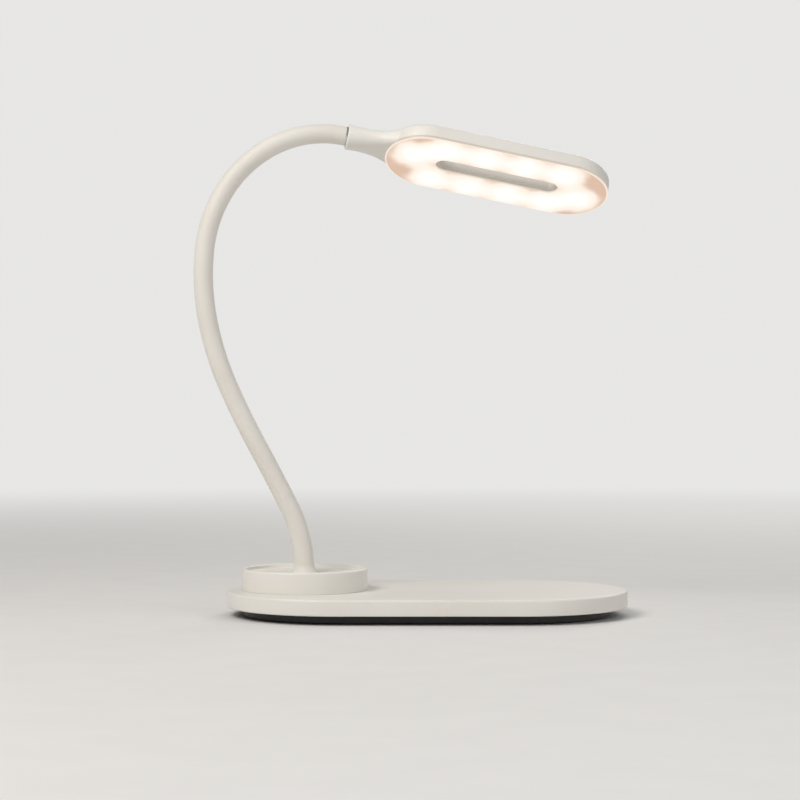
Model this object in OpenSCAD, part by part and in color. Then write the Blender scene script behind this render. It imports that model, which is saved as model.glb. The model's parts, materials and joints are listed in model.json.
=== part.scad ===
// Desk lamp on a flat base plate with round ends. A bendable arm rises from a
// dished round collar and holds a ring head whose lower face glows.
// Millimetres. +Z is up, +X runs along the plate to its free end, +Y is the back.
// The origin is the middle of the face that the lamp stands on.

/* [Base plate] */
// Length of the base plate
plate_l = 240; // [220:1:280]
// Depth of the base plate
plate_w = 134; // [126:1:150]
// Height of the plate's top face above the table
plate_top = 15; // [15:0.5:20]
// Height of the plate's visible side
plate_side = 9.5; // [9:0.5:10]
// Rounding of the plate's top edge
plate_edge_r = 1.4; // [0.4:0.1:1.8]
// Rounding of the plate's lower edge
skirt_edge_r = 0.8; // [0.3:0.1:0.9]
// Wall of the upper shell
deck_wall = 2; // [1.6:0.1:2.2]

/* [Underside] */
// How far the standing plinth is set in from the plate's edge
plinth_inset = 10; // [9:0.5:12]
// Wall of the plinth
plinth_wall = 2; // [1.6:0.1:2.4]
// Floor of the bottom cover
tray_floor = 2.2; // [2:0.1:2.4]
// Thickness of the bottom cover's flange
flange_t = 2.5; // [2.3:0.1:2.7]
// Thickness of the non-slip pad
pad_t = 1.2; // [1:0.1:1.6]
// How deep the pad sits in the cover
pad_sink = 0.7; // [0.4:0.1:0.8]
// Border of the cover left around the pad
pad_border = 2.8; // [2:0.1:4]
// Thickness of the steel ballast plate
ballast_t = 2.5; // [2:0.1:2.6]
// Gap between the ballast plate and the plinth wall
ballast_gap = 5; // [4:0.5:8]

/* [Collar] */
// Distance of the collar's axis from the middle of the plate
collar_from_middle = 73.3; // [70:0.1:76]
// Diameter of the collar
collar_d = 75.4; // [72:0.2:78]
// Height of the collar above the plate
collar_h = 13; // [12:0.5:16]
// Width of the collar's round rim
rim_w = 2.5; // [2:0.1:3]
// Depth of the dish in the collar's top
dish_depth = 3; // [2.6:0.1:4]
// Floor of the dish
dish_floor = 2.2; // [2:0.1:3]

/* [Arm] */
// Turn of the whole arm about the foot, seen from above
arm_yaw = 7; // [0:1:12]
// Outer diameter of the soft sleeve
sleeve_d = 11.5; // [11:0.1:12.5]
// Wall of the soft sleeve
sleeve_wall = 1.4; // [1.2:0.1:1.5]
// Outer diameter of the bendable steel core
core_d = 8.3; // [8.1:0.1:8.4]
// Bore of the bendable steel core
core_bore = 5.2; // [5:0.1:5.4]
// Diameter of the lead inside the arm
lead_d = 2.6; // [2.2:0.1:2.7]
// Length of one arm link along its curve
link_l = 41; // [39:0.1:44]
// Bend of link 1, negative leans away from the head
bend_1 = -26.5; // [-30:0.5:-22]
// Bend of link 2
bend_2 = -2; // [-6:0.5:-1]
// Bend of link 3
bend_3 = 5; // [2:0.5:8]
// Bend of link 4
bend_4 = 13; // [10:0.5:16]
// Bend of link 5
bend_5 = 16; // [12:0.5:20]
// Bend of link 6
bend_6 = 28; // [24:0.5:31]
// Bend of link 7
bend_7 = 31.5; // [28:0.5:34]
// Bend of link 8
bend_8 = 36; // [32:0.5:38]
// Gap between two sleeve ends, room for one joint to bend
sleeve_gap = 2.2; // [2.1:0.1:3]
// Gap between two core ends
core_gap = 1.8; // [1.7:0.1:2.2]
// Radius of the ball that links two cores
ball_r = 3.2; // [3:0.05:3.3]

/* [Arm foot] */
// Diameter of the foot's flange on the dish floor
foot_flange_d = 13.5; // [13:0.5:18]
// Thickness of the foot's flange
foot_flange_t = 1.2; // [1:0.1:2]
// Wall of the arm's soft cuff round the foot's flange
cuff_wall = 0.8; // [0.6:0.1:1.5]
// Height of the arm's soft cuff above the dish floor
cuff_h = 6.5; // [4:0.5:8]
// Diameter of the foot's shank
shank_d = 12; // [11.5:0.5:12]
// Thickness of the foot's nut
nut_t = 4.5; // [4:0.1:4.8]
// Width of the foot's nut across its flats
nut_flats = 17; // [16:0.5:18]
// Diameter of the foot's washer
washer_d = 22; // [20:0.5:24]
// Thickness of the foot's washer
washer_t = 1.2; // [1:0.1:1.4]

/* [Head] */
// Roll of the head about the arm's end
head_roll = -25; // [-30:1:-20]
// Length of the ring head
head_l = 138; // [130:1:142]
// Width of the ring head
head_w = 54; // [52:1:56]
// Thickness of the ring head
head_t = 11; // [10.8:0.1:12]
// Length of the slot through the head
slot_l = 76; // [70:1:78]
// Width of the slot through the head
slot_w = 12.5; // [11:0.5:13]
// Wall of the head's back shell
shell_wall = 1.8; // [1.5:0.1:1.8]
// Rounding of the head's back edge
shell_edge_r = 3; // [2:0.1:3.4]
// Thickness of the glowing diffuser
diffuser_t = 1.8; // [1.4:0.1:2]
// How far the ring lies below the arm's axis at the neck
head_drop = 1; // [0.8:0.1:1.2]

/* [Neck] */
// Length of the neck from the arm to the ring
neck_l = 25.7; // [24:0.1:28]
// Diameter of the neck's mouth
neck_mouth_d = 15.6; // [14.5:0.1:16.5]
// Half width of the neck where it meets the ring
neck_half_w = 15.5; // [14:0.5:17]
// Thickness of the neck where it meets the ring
neck_t = 10.4; // [9.8:0.1:10.8]
// Diameter of the swivel spigot
spigot_d = 9; // [8.6:0.1:9.4]
// Length of the swivel spigot
spigot_l = 12; // [11.5:0.5:13]

/* [Light] */
// Distance between two light chips of a row
led_pitch = 24; // [22:0.5:24]
// Shift of a row along the head
led_shift = 2; // [0:0.5:3]
// Distance of a row from the head's long axis
led_row_y = 16.5; // [15:0.5:18]
// Distance of the end chips from the ring's ends
led_end_inset = 17; // [16:0.5:19]
// Side offset of the end chips
led_end_y = 6; // [0:0.5:7]

/* [Charger] */
// Distance of the charging coil from the middle of the plate
coil_x = 48; // [44:1:52]
// Outer diameter of the charging coil
coil_d = 43; // [38:1:46]
// Diameter of the hole in the charging coil
coil_hole_d = 20; // [18:1:24]
// Thickness of the charging coil
coil_t = 1.8; // [1.4:0.1:2]
// Thickness of the ferrite sheet
ferrite_t = 1; // [0.8:0.1:1.2]

/* [Hidden] */
$fn = 64;

// Colours
body_color = [0.93, 0.91, 0.87];
sleeve_color = [0.9, 0.88, 0.84];
steel_color = [0.7, 0.71, 0.73];
dark_steel_color = [0.35, 0.36, 0.38];
rubber_color = [0.22, 0.22, 0.23];
board_color = [0.1, 0.35, 0.2];
white_board_color = [0.95, 0.95, 0.93];
copper_color = [0.75, 0.45, 0.25];
ferrite_color = [0.28, 0.26, 0.26];
chip_color = [0.12, 0.12, 0.13];
glow_color = [1, 0.93, 0.82];
phosphor_color = [0.98, 0.85, 0.35];
lead_color = [0.15, 0.15, 0.16];

// Small shared sizes
eps = 0.01;
cut = 1;
fit_gap = 0.2;
run_gap = 0.06;
joint_gap = 0.3;

// Heights in the base, from the table up
cover_low = pad_t - pad_sink;
tray_top = cover_low + tray_floor;
ballast_top = tray_top + ballast_t;
skirt_low = plate_top - plate_side;
flange_rise = 0.2;
flange_low = skirt_low + flange_rise;
flange_top = flange_low + flange_t;
deck_ceiling = plate_top - deck_wall;

// Outlines of the base
plate_r = plate_w / 2;
plate_run = plate_l / 2 - plate_r;
deck_inner_r = plate_r - deck_wall;
flange_r = deck_inner_r - fit_gap;
plinth_r = plate_r - plinth_inset;
tray_inner_r = plinth_r - plinth_wall;
pad_pocket_r = plinth_r - pad_border;
ballast_r = tray_inner_r - ballast_gap;
plinth_edge_r = 0.4;

// Screws that hold the bottom cover
cover_screw_r = 1.3;
cover_screw_head_r = 2.5;
cover_screw_head_t = 1.3;
cover_screw_ring = (plinth_r + deck_inner_r) / 2;
cover_boss_r = 3.3;
cover_screw_turns = [-80, 0, 80];
cover_screw_places = [
    for (side = [-1, 1])
        for (turn = cover_screw_turns)
            [side * (plate_run + cover_screw_ring * cos(turn)), cover_screw_ring * sin(turn)]
];
cover_seat_t = 1.1;
cover_seat = flange_low + flange_t - cover_seat_t;
cover_screw_tip = deck_ceiling - 0.4;
screw_bore_gap = 0.05;
screw_pass_gap = 0.2;

// Collar
collar_x = -collar_from_middle;
collar_r = collar_d / 2;
collar_top = plate_top + collar_h;
bead_r = rim_w / 2;
bead_z = collar_top - bead_r;
dish_r = collar_r - rim_w;
dish_z = collar_top - dish_depth;
dish_fillet = dish_depth - bead_r;
dish_under = dish_z - dish_floor;
collar_boss_r = 11;
collar_screw_ring = 27;
collar_screw_boss_r = 3.6;
collar_screw_r = 1.3;
collar_screw_head_r = 2.5;
collar_screw_head_t = 1.5;
collar_screw_tip = dish_under - 0.8;
collar_screw_turns = [90, 210, 330];

// Foot of the arm
shank_r = shank_d / 2;
shank_hole_r = shank_r + fit_gap;
washer_top = deck_ceiling;
nut_top = washer_top - washer_t;
nut_low = nut_top - nut_t;
shank_low = nut_low - 0.4;
foot_socket_r = core_d / 2 + 0.1;
foot_socket_z = nut_top + 0.4;
foot_z = dish_z + foot_flange_t;
arm_z = dish_z;
sleeve_seat_gap = 0.1;
cuff_gap = 0.05;
cuff_sink = 0.15;
cuff_steps = 8;
ballast_foot_hole_r = 15;

// Main board
board_x = -36;
board_l = 40;
board_w = 39.5;
board_back_gap = 1.5;
board_y = deck_inner_r - board_back_gap - board_w / 2;
board_t = 1.6;
board_z = 6.6;
board_top = board_z + board_t;
board_boss_r = 3;
board_boss_dx = board_l / 2 - 4;
board_boss_front = board_y - board_w / 2 + 4;
board_boss_back = tray_inner_r - 5;
board_boss_places = [
    [board_x - board_boss_dx, board_boss_front],
    [board_x + board_boss_dx, board_boss_front],
    [board_x - board_boss_dx, board_boss_back],
    [board_x + board_boss_dx, board_boss_back]
];
board_screw_r = 1.1;
board_screw_head_r = 2.1;
board_screw_head_t = 1.3;
board_notch_gap = 1;
board_notch_front = tray_inner_r - 5.5;

// Inlet for the supply lead, in the back of the plate
inlet_w = 8.94;
inlet_h = 3.26;
inlet_depth = 7.35;
inlet_wall = 0.3;
inlet_mouth_y = plate_r - 1.25;
inlet_z = board_top + inlet_h / 2;
inlet_tongue_w = 6.7;
inlet_tongue_t = 0.7;
inlet_window_gap = 0.3;

// Parts on the board
chip_side = 7;
chip_t = 1;
chip_x = board_x;
chip_y = board_y - 2;
capacitor_r = 2.5;
capacitor_h = 3.4;
capacitor_xs = [board_x - 11, board_x + 11];
capacitor_y = board_y + 2;
socket_l = 6;
socket_w = 4;
socket_h = 4.6;
socket_y = board_y - board_w / 2 + 5;
socket_face_y = socket_y - socket_w / 2;
socket_xs = [board_x - 8.5, board_x, board_x + 8.5];

// Ballast plate
ballast_cut_gap = 2;
ballast_cut_front = board_boss_back - board_boss_r - ballast_cut_gap;
stake_r = 2.3;
stake_head_r = 3.8;
stake_head_t = 0.8;
stake_hole_gap = 0.2;
stake_end_inset = 15;
stake_side_inset = 12;
stake_mid_x = 10;
stake_places = [
    [plate_run + ballast_r - stake_end_inset, 0],
    [stake_mid_x, ballast_r - stake_side_inset],
    [stake_mid_x, -ballast_r + stake_side_inset],
    [-plate_run, -ballast_r + stake_side_inset]
];

// Charging coil and its carrier, hung under the deck
coil_top_gap = 0.3;
coil_low = deck_ceiling - coil_top_gap - coil_t;
ferrite_top = coil_low;
ferrite_low = ferrite_top - ferrite_t;
ferrite_r = coil_d / 2 + 3;
holder_r = ferrite_r + 2.2;
holder_rim_r = ferrite_r + fit_gap;
holder_hollow_r = ferrite_r - 4;
holder_top_t = 1.4;

// Touch plate under the deck
touch_x = -14;
touch_y = -34;
touch_r = 8;
touch_t = 0.4;

// Leads inside the base
thin_lead_r = 0.6;
thin_turn_r = 5;
thin_lead_z = deck_ceiling - touch_t - thin_lead_r;
coil_lead_gap = 1.1;
tail_turn_r = 2.2;
tail_low_z = tray_top + lead_d / 2 + 0.2;
tail_top_z = foot_socket_z - 1;
tail_rise = 12.6;
tail_climb = 5.8;

// Arm
bends = [bend_1, bend_2, bend_3, bend_4, bend_5, bend_6, bend_7, bend_8];
links = len(bends);
sleeve_r = sleeve_d / 2;
sleeve_bore_r = sleeve_r - sleeve_wall;
cuff_pocket_r = foot_flange_d / 2 + cuff_gap;
cuff_r = cuff_pocket_r + cuff_wall;
cuff_top_r = sleeve_r - cuff_sink;
core_r = core_d / 2;
core_bore_r = core_bore / 2;
lead_r = lead_d / 2;
lead_bore_r = lead_r + 0.3;
cup_r = ball_r + joint_gap;
cup_wall = 4;
nose_wall = 4;
lead_nose = ball_r - 0.8;
lead_tail = cup_r + 1;

// Swivel between the arm and the neck
tip_flange_t = 0.8;
tip_plug_l = 5;
tip_bow = tip_plug_l * tip_plug_l / (2 * abs(bend_radius(links - 1)));
tip_plug_r = core_bore_r - tip_bow - screw_bore_gap;
tip_bore_r = lead_r + tip_bow + fit_gap;
tip_root = 1;
spigot_r = spigot_d / 2;
neck_start = tip_flange_t + joint_gap;
spigot_end = tip_flange_t + spigot_l;
ring_t = 0.8;
ring_room = 0.3;
groove_x = spigot_end - 3.2;
groove_r = spigot_r - 0.8;
snap_out = 0.6;
snap_r = spigot_r + snap_out;
snap_opening = 60;
socket_bore_r = spigot_r + run_gap;
socket_end = spigot_end + joint_gap;
neck_lead_r = lead_r + 0.4;

// Ring head, measured from the neck's mouth along the head
ring_x = neck_l + head_l / 2;
ring_r = head_w / 2;
ring_run = head_l / 2 - ring_r;
slot_r = slot_w / 2;
slot_run = slot_l / 2 - slot_r;
face_z = -head_t / 2;
back_z = head_t / 2;
shell_low = face_z + diffuser_t;
shell_ceiling = back_z - shell_wall;
shell_inner_r = ring_r - shell_wall;
slot_wall = 1.5;
slot_wall_r = slot_r + slot_wall;
diffuser_edge_r = 0.8;
lip_gap = 0.15;
lip_wall = 1;
lip_h = 1.3;

// Board with the light chips
light_board_t = 1.2;
light_board_z = shell_ceiling - 1.1 - light_board_t;
light_board_r = shell_inner_r - 1.8;
light_board_slot_r = slot_wall_r + 1.6;
led_l = 3.5;
led_w = 2.8;
led_t = 0.8;
led_row = [-1.5 * led_pitch, -0.5 * led_pitch, 0.5 * led_pitch, 1.5 * led_pitch];
led_end_x = head_l / 2 - led_end_inset;
light_board_end_gap = 1.5;
light_board_cut = led_end_x + led_l + light_board_end_gap;
led_places = concat(
    [for (x = led_row) [x + led_shift, -led_row_y]],
    [for (x = led_row) [x - led_shift, led_row_y]],
    [[led_end_x, led_end_y], [-led_end_x, -led_end_y]]
);
light_screw_places = [
    for (side = [-1, 1])
        for (x = [-led_pitch, led_pitch])
            [x - side * led_shift, side * led_row_y]
];
light_screw_r = 1;
light_screw_head_r = 1.9;
light_screw_head_t = 1.1;
light_post_r = 2.4;
light_screw_tip = back_z - 0.7;

// Tongue that carries the ring on the neck
tongue_w = 16;
tongue_t = 4;
tongue_end = ring_x - light_board_cut - 1;
tongue_window_gap = 0.3;
tongue_screw_inset = 4.5;
tongue_screw_x = tongue_end - tongue_screw_inset;
tongue_screw_y = 5;
tongue_screw_r = 1;
tongue_screw_head_r = 1.9;
tongue_screw_head_t = 1.3;
tongue_boss_r = 2.6;
neck_seat_gap = 0.05;
neck_mouth_edge = 1;
neck_mouth_run = 3;
neck_into_ring = 8;
neck_end_run = 6;

// ---- Shared shapes ----

// Half outline of a slab with rounded edges, from the axis out to radius r
module slab_outline(r, low, high, top_r, low_r) {
    translate([0, low + low_r])
        square([r, high - low - top_r - low_r]);
    translate([0, low])
        square([r - max(top_r, low_r), high - low]);
    if (top_r > 0)
        translate([r - top_r, high - top_r])
            circle(top_r);
    if (low_r > 0)
        translate([r - low_r, low + low_r])
            circle(low_r);
}

// Solid with two round ends: the outline is turned at each end and run between
module pill(run) {
    for (side = [-1, 1])
        translate([side * run, 0, 0])
            rotate_extrude(angle = 180, start = -90 * side)
                children();
    rotate([90, 0, 90])
        translate([0, 0, -run])
            linear_extrude(2 * run) {
                children();
                mirror([1, 0])
                    children();
            }
}

// Plain slab with two round ends
module plain_pill(run, r, low, high) {
    pill(run)
        translate([0, low])
            square([r, high - low]);
}

// Upright cylinder between two heights
module post(r, low, high) {
    translate([0, 0, low])
        cylinder(h = high - low, r = r);
}

// Screw along +Z: its seat is at z = 0, its head below
module screw(shank_radius, head_radius, head_h, length) {
    translate([0, 0, -head_h])
        cylinder(h = head_h, r = head_radius);
    cylinder(h = length, r = shank_radius);
}

// Quarter bend of a lead, from the way ahead (+Z) toward +X
module quarter_bend(r, turn_r) {
    translate([turn_r, 0, 0])
        rotate([90, 0, 0])
            rotate_extrude(angle = 90, start = 90, $fn = 32)
                translate([turn_r, 0])
                    circle(r);
}

// Lead that sets off along +Z. Each step is a straight length and the side that
// the quarter bend at its end turns to.
module lead_run(steps, r, turn_r, i = 0) {
    ahead = steps[i][0];
    cylinder(h = ahead, r = r, $fn = 32);
    if (i < len(steps) - 1)
        translate([0, 0, ahead])
            rotate([0, 0, steps[i][1]]) {
                quarter_bend(r, turn_r);
                translate([turn_r, 0, turn_r])
                    rotate([0, 90, 0])
                        lead_run(steps, r, turn_r, i + 1);
            }
}

// ---- Places along the arm ----

// Turn of the arm's direction from upright at the start of link k
function turn_at(k) = k == 0 ? 0 : turn_at(k - 1) + bends[k - 1];

// Bend radius of link k, signed like its bend
function bend_radius(k) = link_l * 180 / (PI * bends[k]);

// Step from the start of link k to its end, in the arm's plane
function link_step(k) = let (
        r = bend_radius(k),
        a = turn_at(k),
        b = a + bends[k]
    ) [r * (cos(a) - cos(b)), 0, r * (sin(b) - sin(a))];

// Start of link k, in the arm's plane
function pivot(k) = k == 0 ? [0, 0, arm_z] : pivot(k - 1) + link_step(k - 1);

// Puts children at the start of link k, with +Z along the arm
module at_link(k) {
    translate([collar_x, 0, 0])
        rotate([0, 0, arm_yaw])
            translate(pivot(k))
                rotate([0, turn_at(k), 0])
                    children();
}

// Puts children at the neck's mouth, with +X along the head and +Z to its back
module at_head() {
    at_link(links)
        rotate([0, -90, 0])
            rotate([head_roll, 0, 0])
                children();
}

// Puts children in the middle of the ring head
module at_ring() {
    at_head()
        translate([ring_x, 0, -head_drop])
            children();
}

// Bent round rod of link k, from arc length a to arc length b
module arc_rod(k, a, b, r) {
    radius = abs(bend_radius(k));
    sweep = abs(bends[k]) * (b - a) / link_l;
    begin = abs(bends[k]) * a / link_l;
    flip = bends[k] < 0 ? 1 : 0;
    mirror([flip, 0, 0])
        translate([radius, 0, 0])
            rotate([90, 0, 0])
                rotate_extrude(angle = sweep, start = 180 - begin - sweep)
                    translate([radius, 0])
                        circle(r);
}

// Bent tube of link k, from arc length a to arc length b
module arc_tube(k, a, b, r, bore_r) {
    radius = abs(bend_radius(k));
    sweep = abs(bends[k]) * (b - a) / link_l;
    begin = abs(bends[k]) * a / link_l;
    flip = bends[k] < 0 ? 1 : 0;
    mirror([flip, 0, 0])
        translate([radius, 0, 0])
            rotate([90, 0, 0])
                rotate_extrude(angle = sweep, start = 180 - begin - sweep)
                    translate([radius, 0])
                        difference() {
                            circle(r);
                            circle(bore_r);
                        }
}

// ---- Base ----

module base_deck() {
    color(body_color)
        difference() {
            union() {
                difference() {
                    pill(plate_run)
                        slab_outline(plate_r, skirt_low, plate_top, plate_edge_r, skirt_edge_r);
                    plain_pill(plate_run, deck_inner_r, skirt_low - cut, deck_ceiling);
                }
                for (place = cover_screw_places)
                    translate(place)
                        post(cover_boss_r, flange_top, deck_ceiling + eps);
            }
            for (place = cover_screw_places)
                translate(place)
                    post(cover_screw_r + screw_bore_gap, flange_top - cut, cover_screw_tip + 0.1);
            translate([collar_x, 0, 0]) {
                post(shank_hole_r, deck_ceiling - cut, plate_top + cut);
                for (turn = collar_screw_turns)
                    rotate([0, 0, turn])
                        translate([collar_screw_ring, 0, 0])
                            post(collar_screw_r + screw_pass_gap, deck_ceiling - cut, plate_top + cut);
            }
            inlet_window();
        }
}

// Opening in the deck's back wall for the inlet
module inlet_window() {
    window_r = inlet_h / 2 + inlet_window_gap;
    half = (inlet_w - inlet_h) / 2;
    translate([board_x, plate_r + cut, inlet_z])
        rotate([90, 0, 0]) {
            for (side = [-1, 1])
                translate([side * half, 0, 0])
                    cylinder(h = deck_wall + 2 * cut, r = window_r);
            translate([-half, -window_r, 0])
                cube([2 * half, 2 * window_r, deck_wall + 2 * cut]);
        }
}

module base_cover() {
    color(body_color)
        difference() {
            union() {
                pill(plate_run)
                    slab_outline(plinth_r, cover_low, flange_top, 0, plinth_edge_r);
                plain_pill(plate_run, flange_r, flange_low, flange_top);
            }
            difference() {
                plain_pill(plate_run, tray_inner_r, tray_top, flange_top + cut);
                for (place = board_boss_places)
                    translate(place)
                        post(board_boss_r, tray_top - eps, board_z);
                for (place = stake_places)
                    translate(place) {
                        post(stake_r, tray_top - eps, ballast_top + eps);
                        post(stake_head_r, ballast_top, ballast_top + stake_head_t);
                    }
            }
            plain_pill(plate_run, pad_pocket_r, cover_low - cut, pad_t);
            for (place = cover_screw_places)
                translate(place) {
                    post(cover_screw_r + screw_pass_gap, flange_low - cut, flange_top + cut);
                    post(cover_screw_head_r + screw_pass_gap, flange_low - cut, cover_seat);
                }
            for (place = board_boss_places)
                translate(place)
                    post(board_screw_r + screw_bore_gap, tray_top + eps, board_z + cut);
            translate([board_x - board_l / 2 - board_notch_gap, board_notch_front, board_z - 0.3])
                cube([board_l + 2 * board_notch_gap, plate_r - board_notch_front, flange_top]);
        }
}

module non_slip_pad() {
    color(rubber_color)
        plain_pill(plate_run, pad_pocket_r - fit_gap, 0, pad_t);
}

module ballast_plate() {
    color(dark_steel_color)
        difference() {
            plain_pill(plate_run, ballast_r, tray_top, ballast_top);
            translate([collar_x, 0, 0])
                post(ballast_foot_hole_r, tray_top - cut, ballast_top + cut);
            for (place = stake_places)
                translate(place)
                    post(stake_r + stake_hole_gap, tray_top - cut, ballast_top + cut);
            for (place = board_boss_places)
                translate(place)
                    post(board_boss_r + ballast_cut_gap / 2, tray_top - cut, ballast_top + cut);
            translate([board_x - board_l / 2, ballast_cut_front, tray_top - cut])
                cube([board_l, plate_r, ballast_t + 2 * cut]);
        }
}

module cover_screws() {
    color(steel_color)
        for (place = cover_screw_places)
            translate([place[0], place[1], cover_seat])
                screw(cover_screw_r, cover_screw_head_r, cover_screw_head_t, cover_screw_tip - cover_seat);
}

// Half outline of the collar, with its round rim and its dish
module collar_outline() {
    translate([dish_r, plate_top])
        square([rim_w, bead_z - plate_top]);
    translate([dish_r + bead_r, bead_z])
        circle(bead_r);
    translate([0, dish_under])
        square([dish_r + eps, dish_floor]);
    difference() {
        translate([dish_r - dish_fillet, dish_z])
            square([dish_fillet + eps, dish_fillet]);
        translate([dish_r - dish_fillet, dish_z + dish_fillet])
            circle(dish_fillet);
    }
    translate([0, plate_top])
        square([collar_boss_r, dish_under - plate_top + eps]);
}

module collar() {
    color(body_color)
        translate([collar_x, 0, 0])
            difference() {
                union() {
                    rotate_extrude()
                        collar_outline();
                    for (turn = collar_screw_turns)
                        rotate([0, 0, turn])
                            translate([collar_screw_ring, 0, 0])
                                post(collar_screw_boss_r, plate_top, dish_under + eps);
                }
                post(shank_hole_r, plate_top - cut, dish_z + cut);
                for (turn = collar_screw_turns)
                    rotate([0, 0, turn])
                        translate([collar_screw_ring, 0, 0])
                            post(collar_screw_r + screw_bore_gap, plate_top - cut, collar_screw_tip + 0.1);
            }
}

module collar_screws() {
    color(steel_color)
        translate([collar_x, 0, deck_ceiling])
            for (turn = collar_screw_turns)
                rotate([0, 0, turn])
                    translate([collar_screw_ring, 0, 0])
                        screw(collar_screw_r, collar_screw_head_r, collar_screw_head_t,
                              collar_screw_tip - deck_ceiling);
}

module charging_coil() {
    color(copper_color)
        translate([coil_x, 0, coil_low])
            difference() {
                cylinder(h = coil_t, d = coil_d);
                translate([0, 0, -cut])
                    cylinder(h = coil_t + 2 * cut, d = coil_hole_d);
            }
}

module ferrite_sheet() {
    color(ferrite_color)
        translate([coil_x, 0, 0])
            post(ferrite_r, ferrite_low, ferrite_top);
}

module coil_holder() {
    color(body_color)
        translate([coil_x, 0, 0])
            difference() {
                post(holder_r, ballast_top, ferrite_top);
                post(holder_rim_r, ferrite_low, ferrite_top + cut);
                post(holder_hollow_r, ballast_top - cut, ferrite_low - holder_top_t);
            }
}

module main_board() {
    color(board_color)
        difference() {
            translate([board_x - board_l / 2, board_y - board_w / 2, board_z])
                cube([board_l, board_w, board_t]);
            for (place = board_boss_places)
                translate(place)
                    post(board_screw_r + screw_pass_gap, board_z - cut, board_top + cut);
        }
}

module board_screws() {
    color(steel_color)
        for (place = board_boss_places)
            translate([place[0], place[1], board_top])
                mirror([0, 0, 1])
                    screw(board_screw_r, board_screw_head_r, board_screw_head_t,
                          board_top - tray_top - 0.4);
}

module charger_chip() {
    color(chip_color)
        translate([chip_x - chip_side / 2, chip_y - chip_side / 2, board_top])
            cube([chip_side, chip_side, chip_t]);
}

module board_capacitors() {
    color(steel_color)
        for (x = capacitor_xs)
            translate([x, capacitor_y, board_top])
                cylinder(h = capacitor_h, r = capacitor_r);
}

module lead_sockets() {
    color(white_board_color)
        for (x = socket_xs)
            translate([x - socket_l / 2, socket_face_y, board_top])
                cube([socket_l, socket_w, socket_h]);
}

// Rounded tube section of the inlet, w wide and h high, lying along -Y
module inlet_block(w, h, depth) {
    half = (w - h) / 2;
    rotate([90, 0, 0]) {
        for (side = [-1, 1])
            translate([side * half, 0, 0])
                cylinder(h = depth, d = h);
        translate([-half, -h / 2, 0])
            cube([2 * half, h, depth]);
    }
}

module inlet_shell() {
    color(steel_color)
        translate([board_x, inlet_mouth_y, inlet_z])
            difference() {
                inlet_block(inlet_w, inlet_h, inlet_depth);
                translate([0, cut, 0])
                    inlet_block(inlet_w - 2 * inlet_wall, inlet_h - 2 * inlet_wall,
                                inlet_depth + cut - inlet_wall);
            }
}

module inlet_tongue() {
    color(chip_color)
        translate([board_x - inlet_tongue_w / 2, inlet_mouth_y - inlet_depth + inlet_wall,
                   inlet_z - inlet_tongue_t / 2])
            cube([inlet_tongue_w, inlet_depth - 1.2, inlet_tongue_t]);
}

module touch_plate() {
    color(copper_color)
        translate([touch_x, touch_y, 0])
            post(touch_r, deck_ceiling - touch_t, deck_ceiling);
}

module touch_lead() {
    color(lead_color)
        translate([touch_x, touch_y, thin_lead_z])
            rotate([0, -90, 0])
                lead_run([
                    [touch_x - socket_xs[1] - thin_turn_r, 90],
                    [socket_face_y - touch_y - thin_turn_r]
                ], thin_lead_r, thin_turn_r);
}

module coil_leads() {
    start_x = coil_x - coil_d / 2;
    color(lead_color)
        for (side = [-1, 1])
            translate([start_x, side * coil_lead_gap, thin_lead_z])
                rotate([0, -90, 0])
                    lead_run([
                        [start_x - socket_xs[2] - thin_turn_r - side * coil_lead_gap, 90],
                        [socket_face_y - thin_turn_r - side * coil_lead_gap]
                    ], thin_lead_r, thin_turn_r);
}

module arm_lead_tail() {
    color(lead_color)
        translate([collar_x, 0, tail_top_z])
            rotate([180, 0, 0])
                lead_run([
                    [tail_top_z - tail_low_z - tail_turn_r, 0],
                    [tail_rise - 2 * tail_turn_r, 0],
                    [tail_climb - 2 * tail_turn_r, 180],
                    [socket_xs[0] - collar_x - tail_rise - 2 * tail_turn_r, 90],
                    [socket_face_y - tail_turn_r]
                ], lead_r, tail_turn_r);
}

module arm_foot() {
    color(steel_color)
        translate([collar_x, 0, 0])
            difference() {
                union() {
                    post(shank_r, shank_low, foot_z);
                    rotate_extrude()
                        slab_outline(foot_flange_d / 2, dish_z, foot_z, foot_flange_t / 2, 0);
                }
                post(foot_socket_r, foot_socket_z, foot_z + cut);
                post(neck_lead_r, shank_low - cut, foot_z);
            }
}

module foot_washer() {
    color(steel_color)
        translate([collar_x, 0, 0])
            difference() {
                post(washer_d / 2, nut_top, washer_top);
                post(shank_hole_r, nut_top - cut, washer_top + cut);
            }
}

module foot_nut() {
    color(steel_color)
        translate([collar_x, 0, nut_low])
            difference() {
                cylinder(h = nut_t, d = nut_flats / cos(30), $fn = 6);
                translate([0, 0, -cut])
                    cylinder(h = nut_t + 2 * cut, r = shank_r + screw_bore_gap);
            }
}

// ---- Arm ----

// Outline of the cuff: it falls steeply from the sleeve, then runs out to the dish
module cuff_outline() {
    polygon([
        [0, 0],
        for (i = [0:cuff_steps])
            let (rise = i / cuff_steps)
                [cuff_top_r + (cuff_r - cuff_top_r) * pow(1 - rise, 2), cuff_h * rise],
        [0, cuff_h]
    ]);
}

module foot_sleeve() {
    pocket_top = foot_flange_t + sleeve_seat_gap;
    end = link_l - sleeve_gap / 2;
    color(sleeve_color)
        at_link(0)
            difference() {
                union() {
                    arc_rod(0, pocket_top, end, sleeve_r);
                    rotate_extrude()
                        cuff_outline();
                }
                arc_rod(0, foot_flange_t, end + cut, sleeve_bore_r);
                post(cuff_pocket_r, -cut, pocket_top);
            }
}

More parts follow.
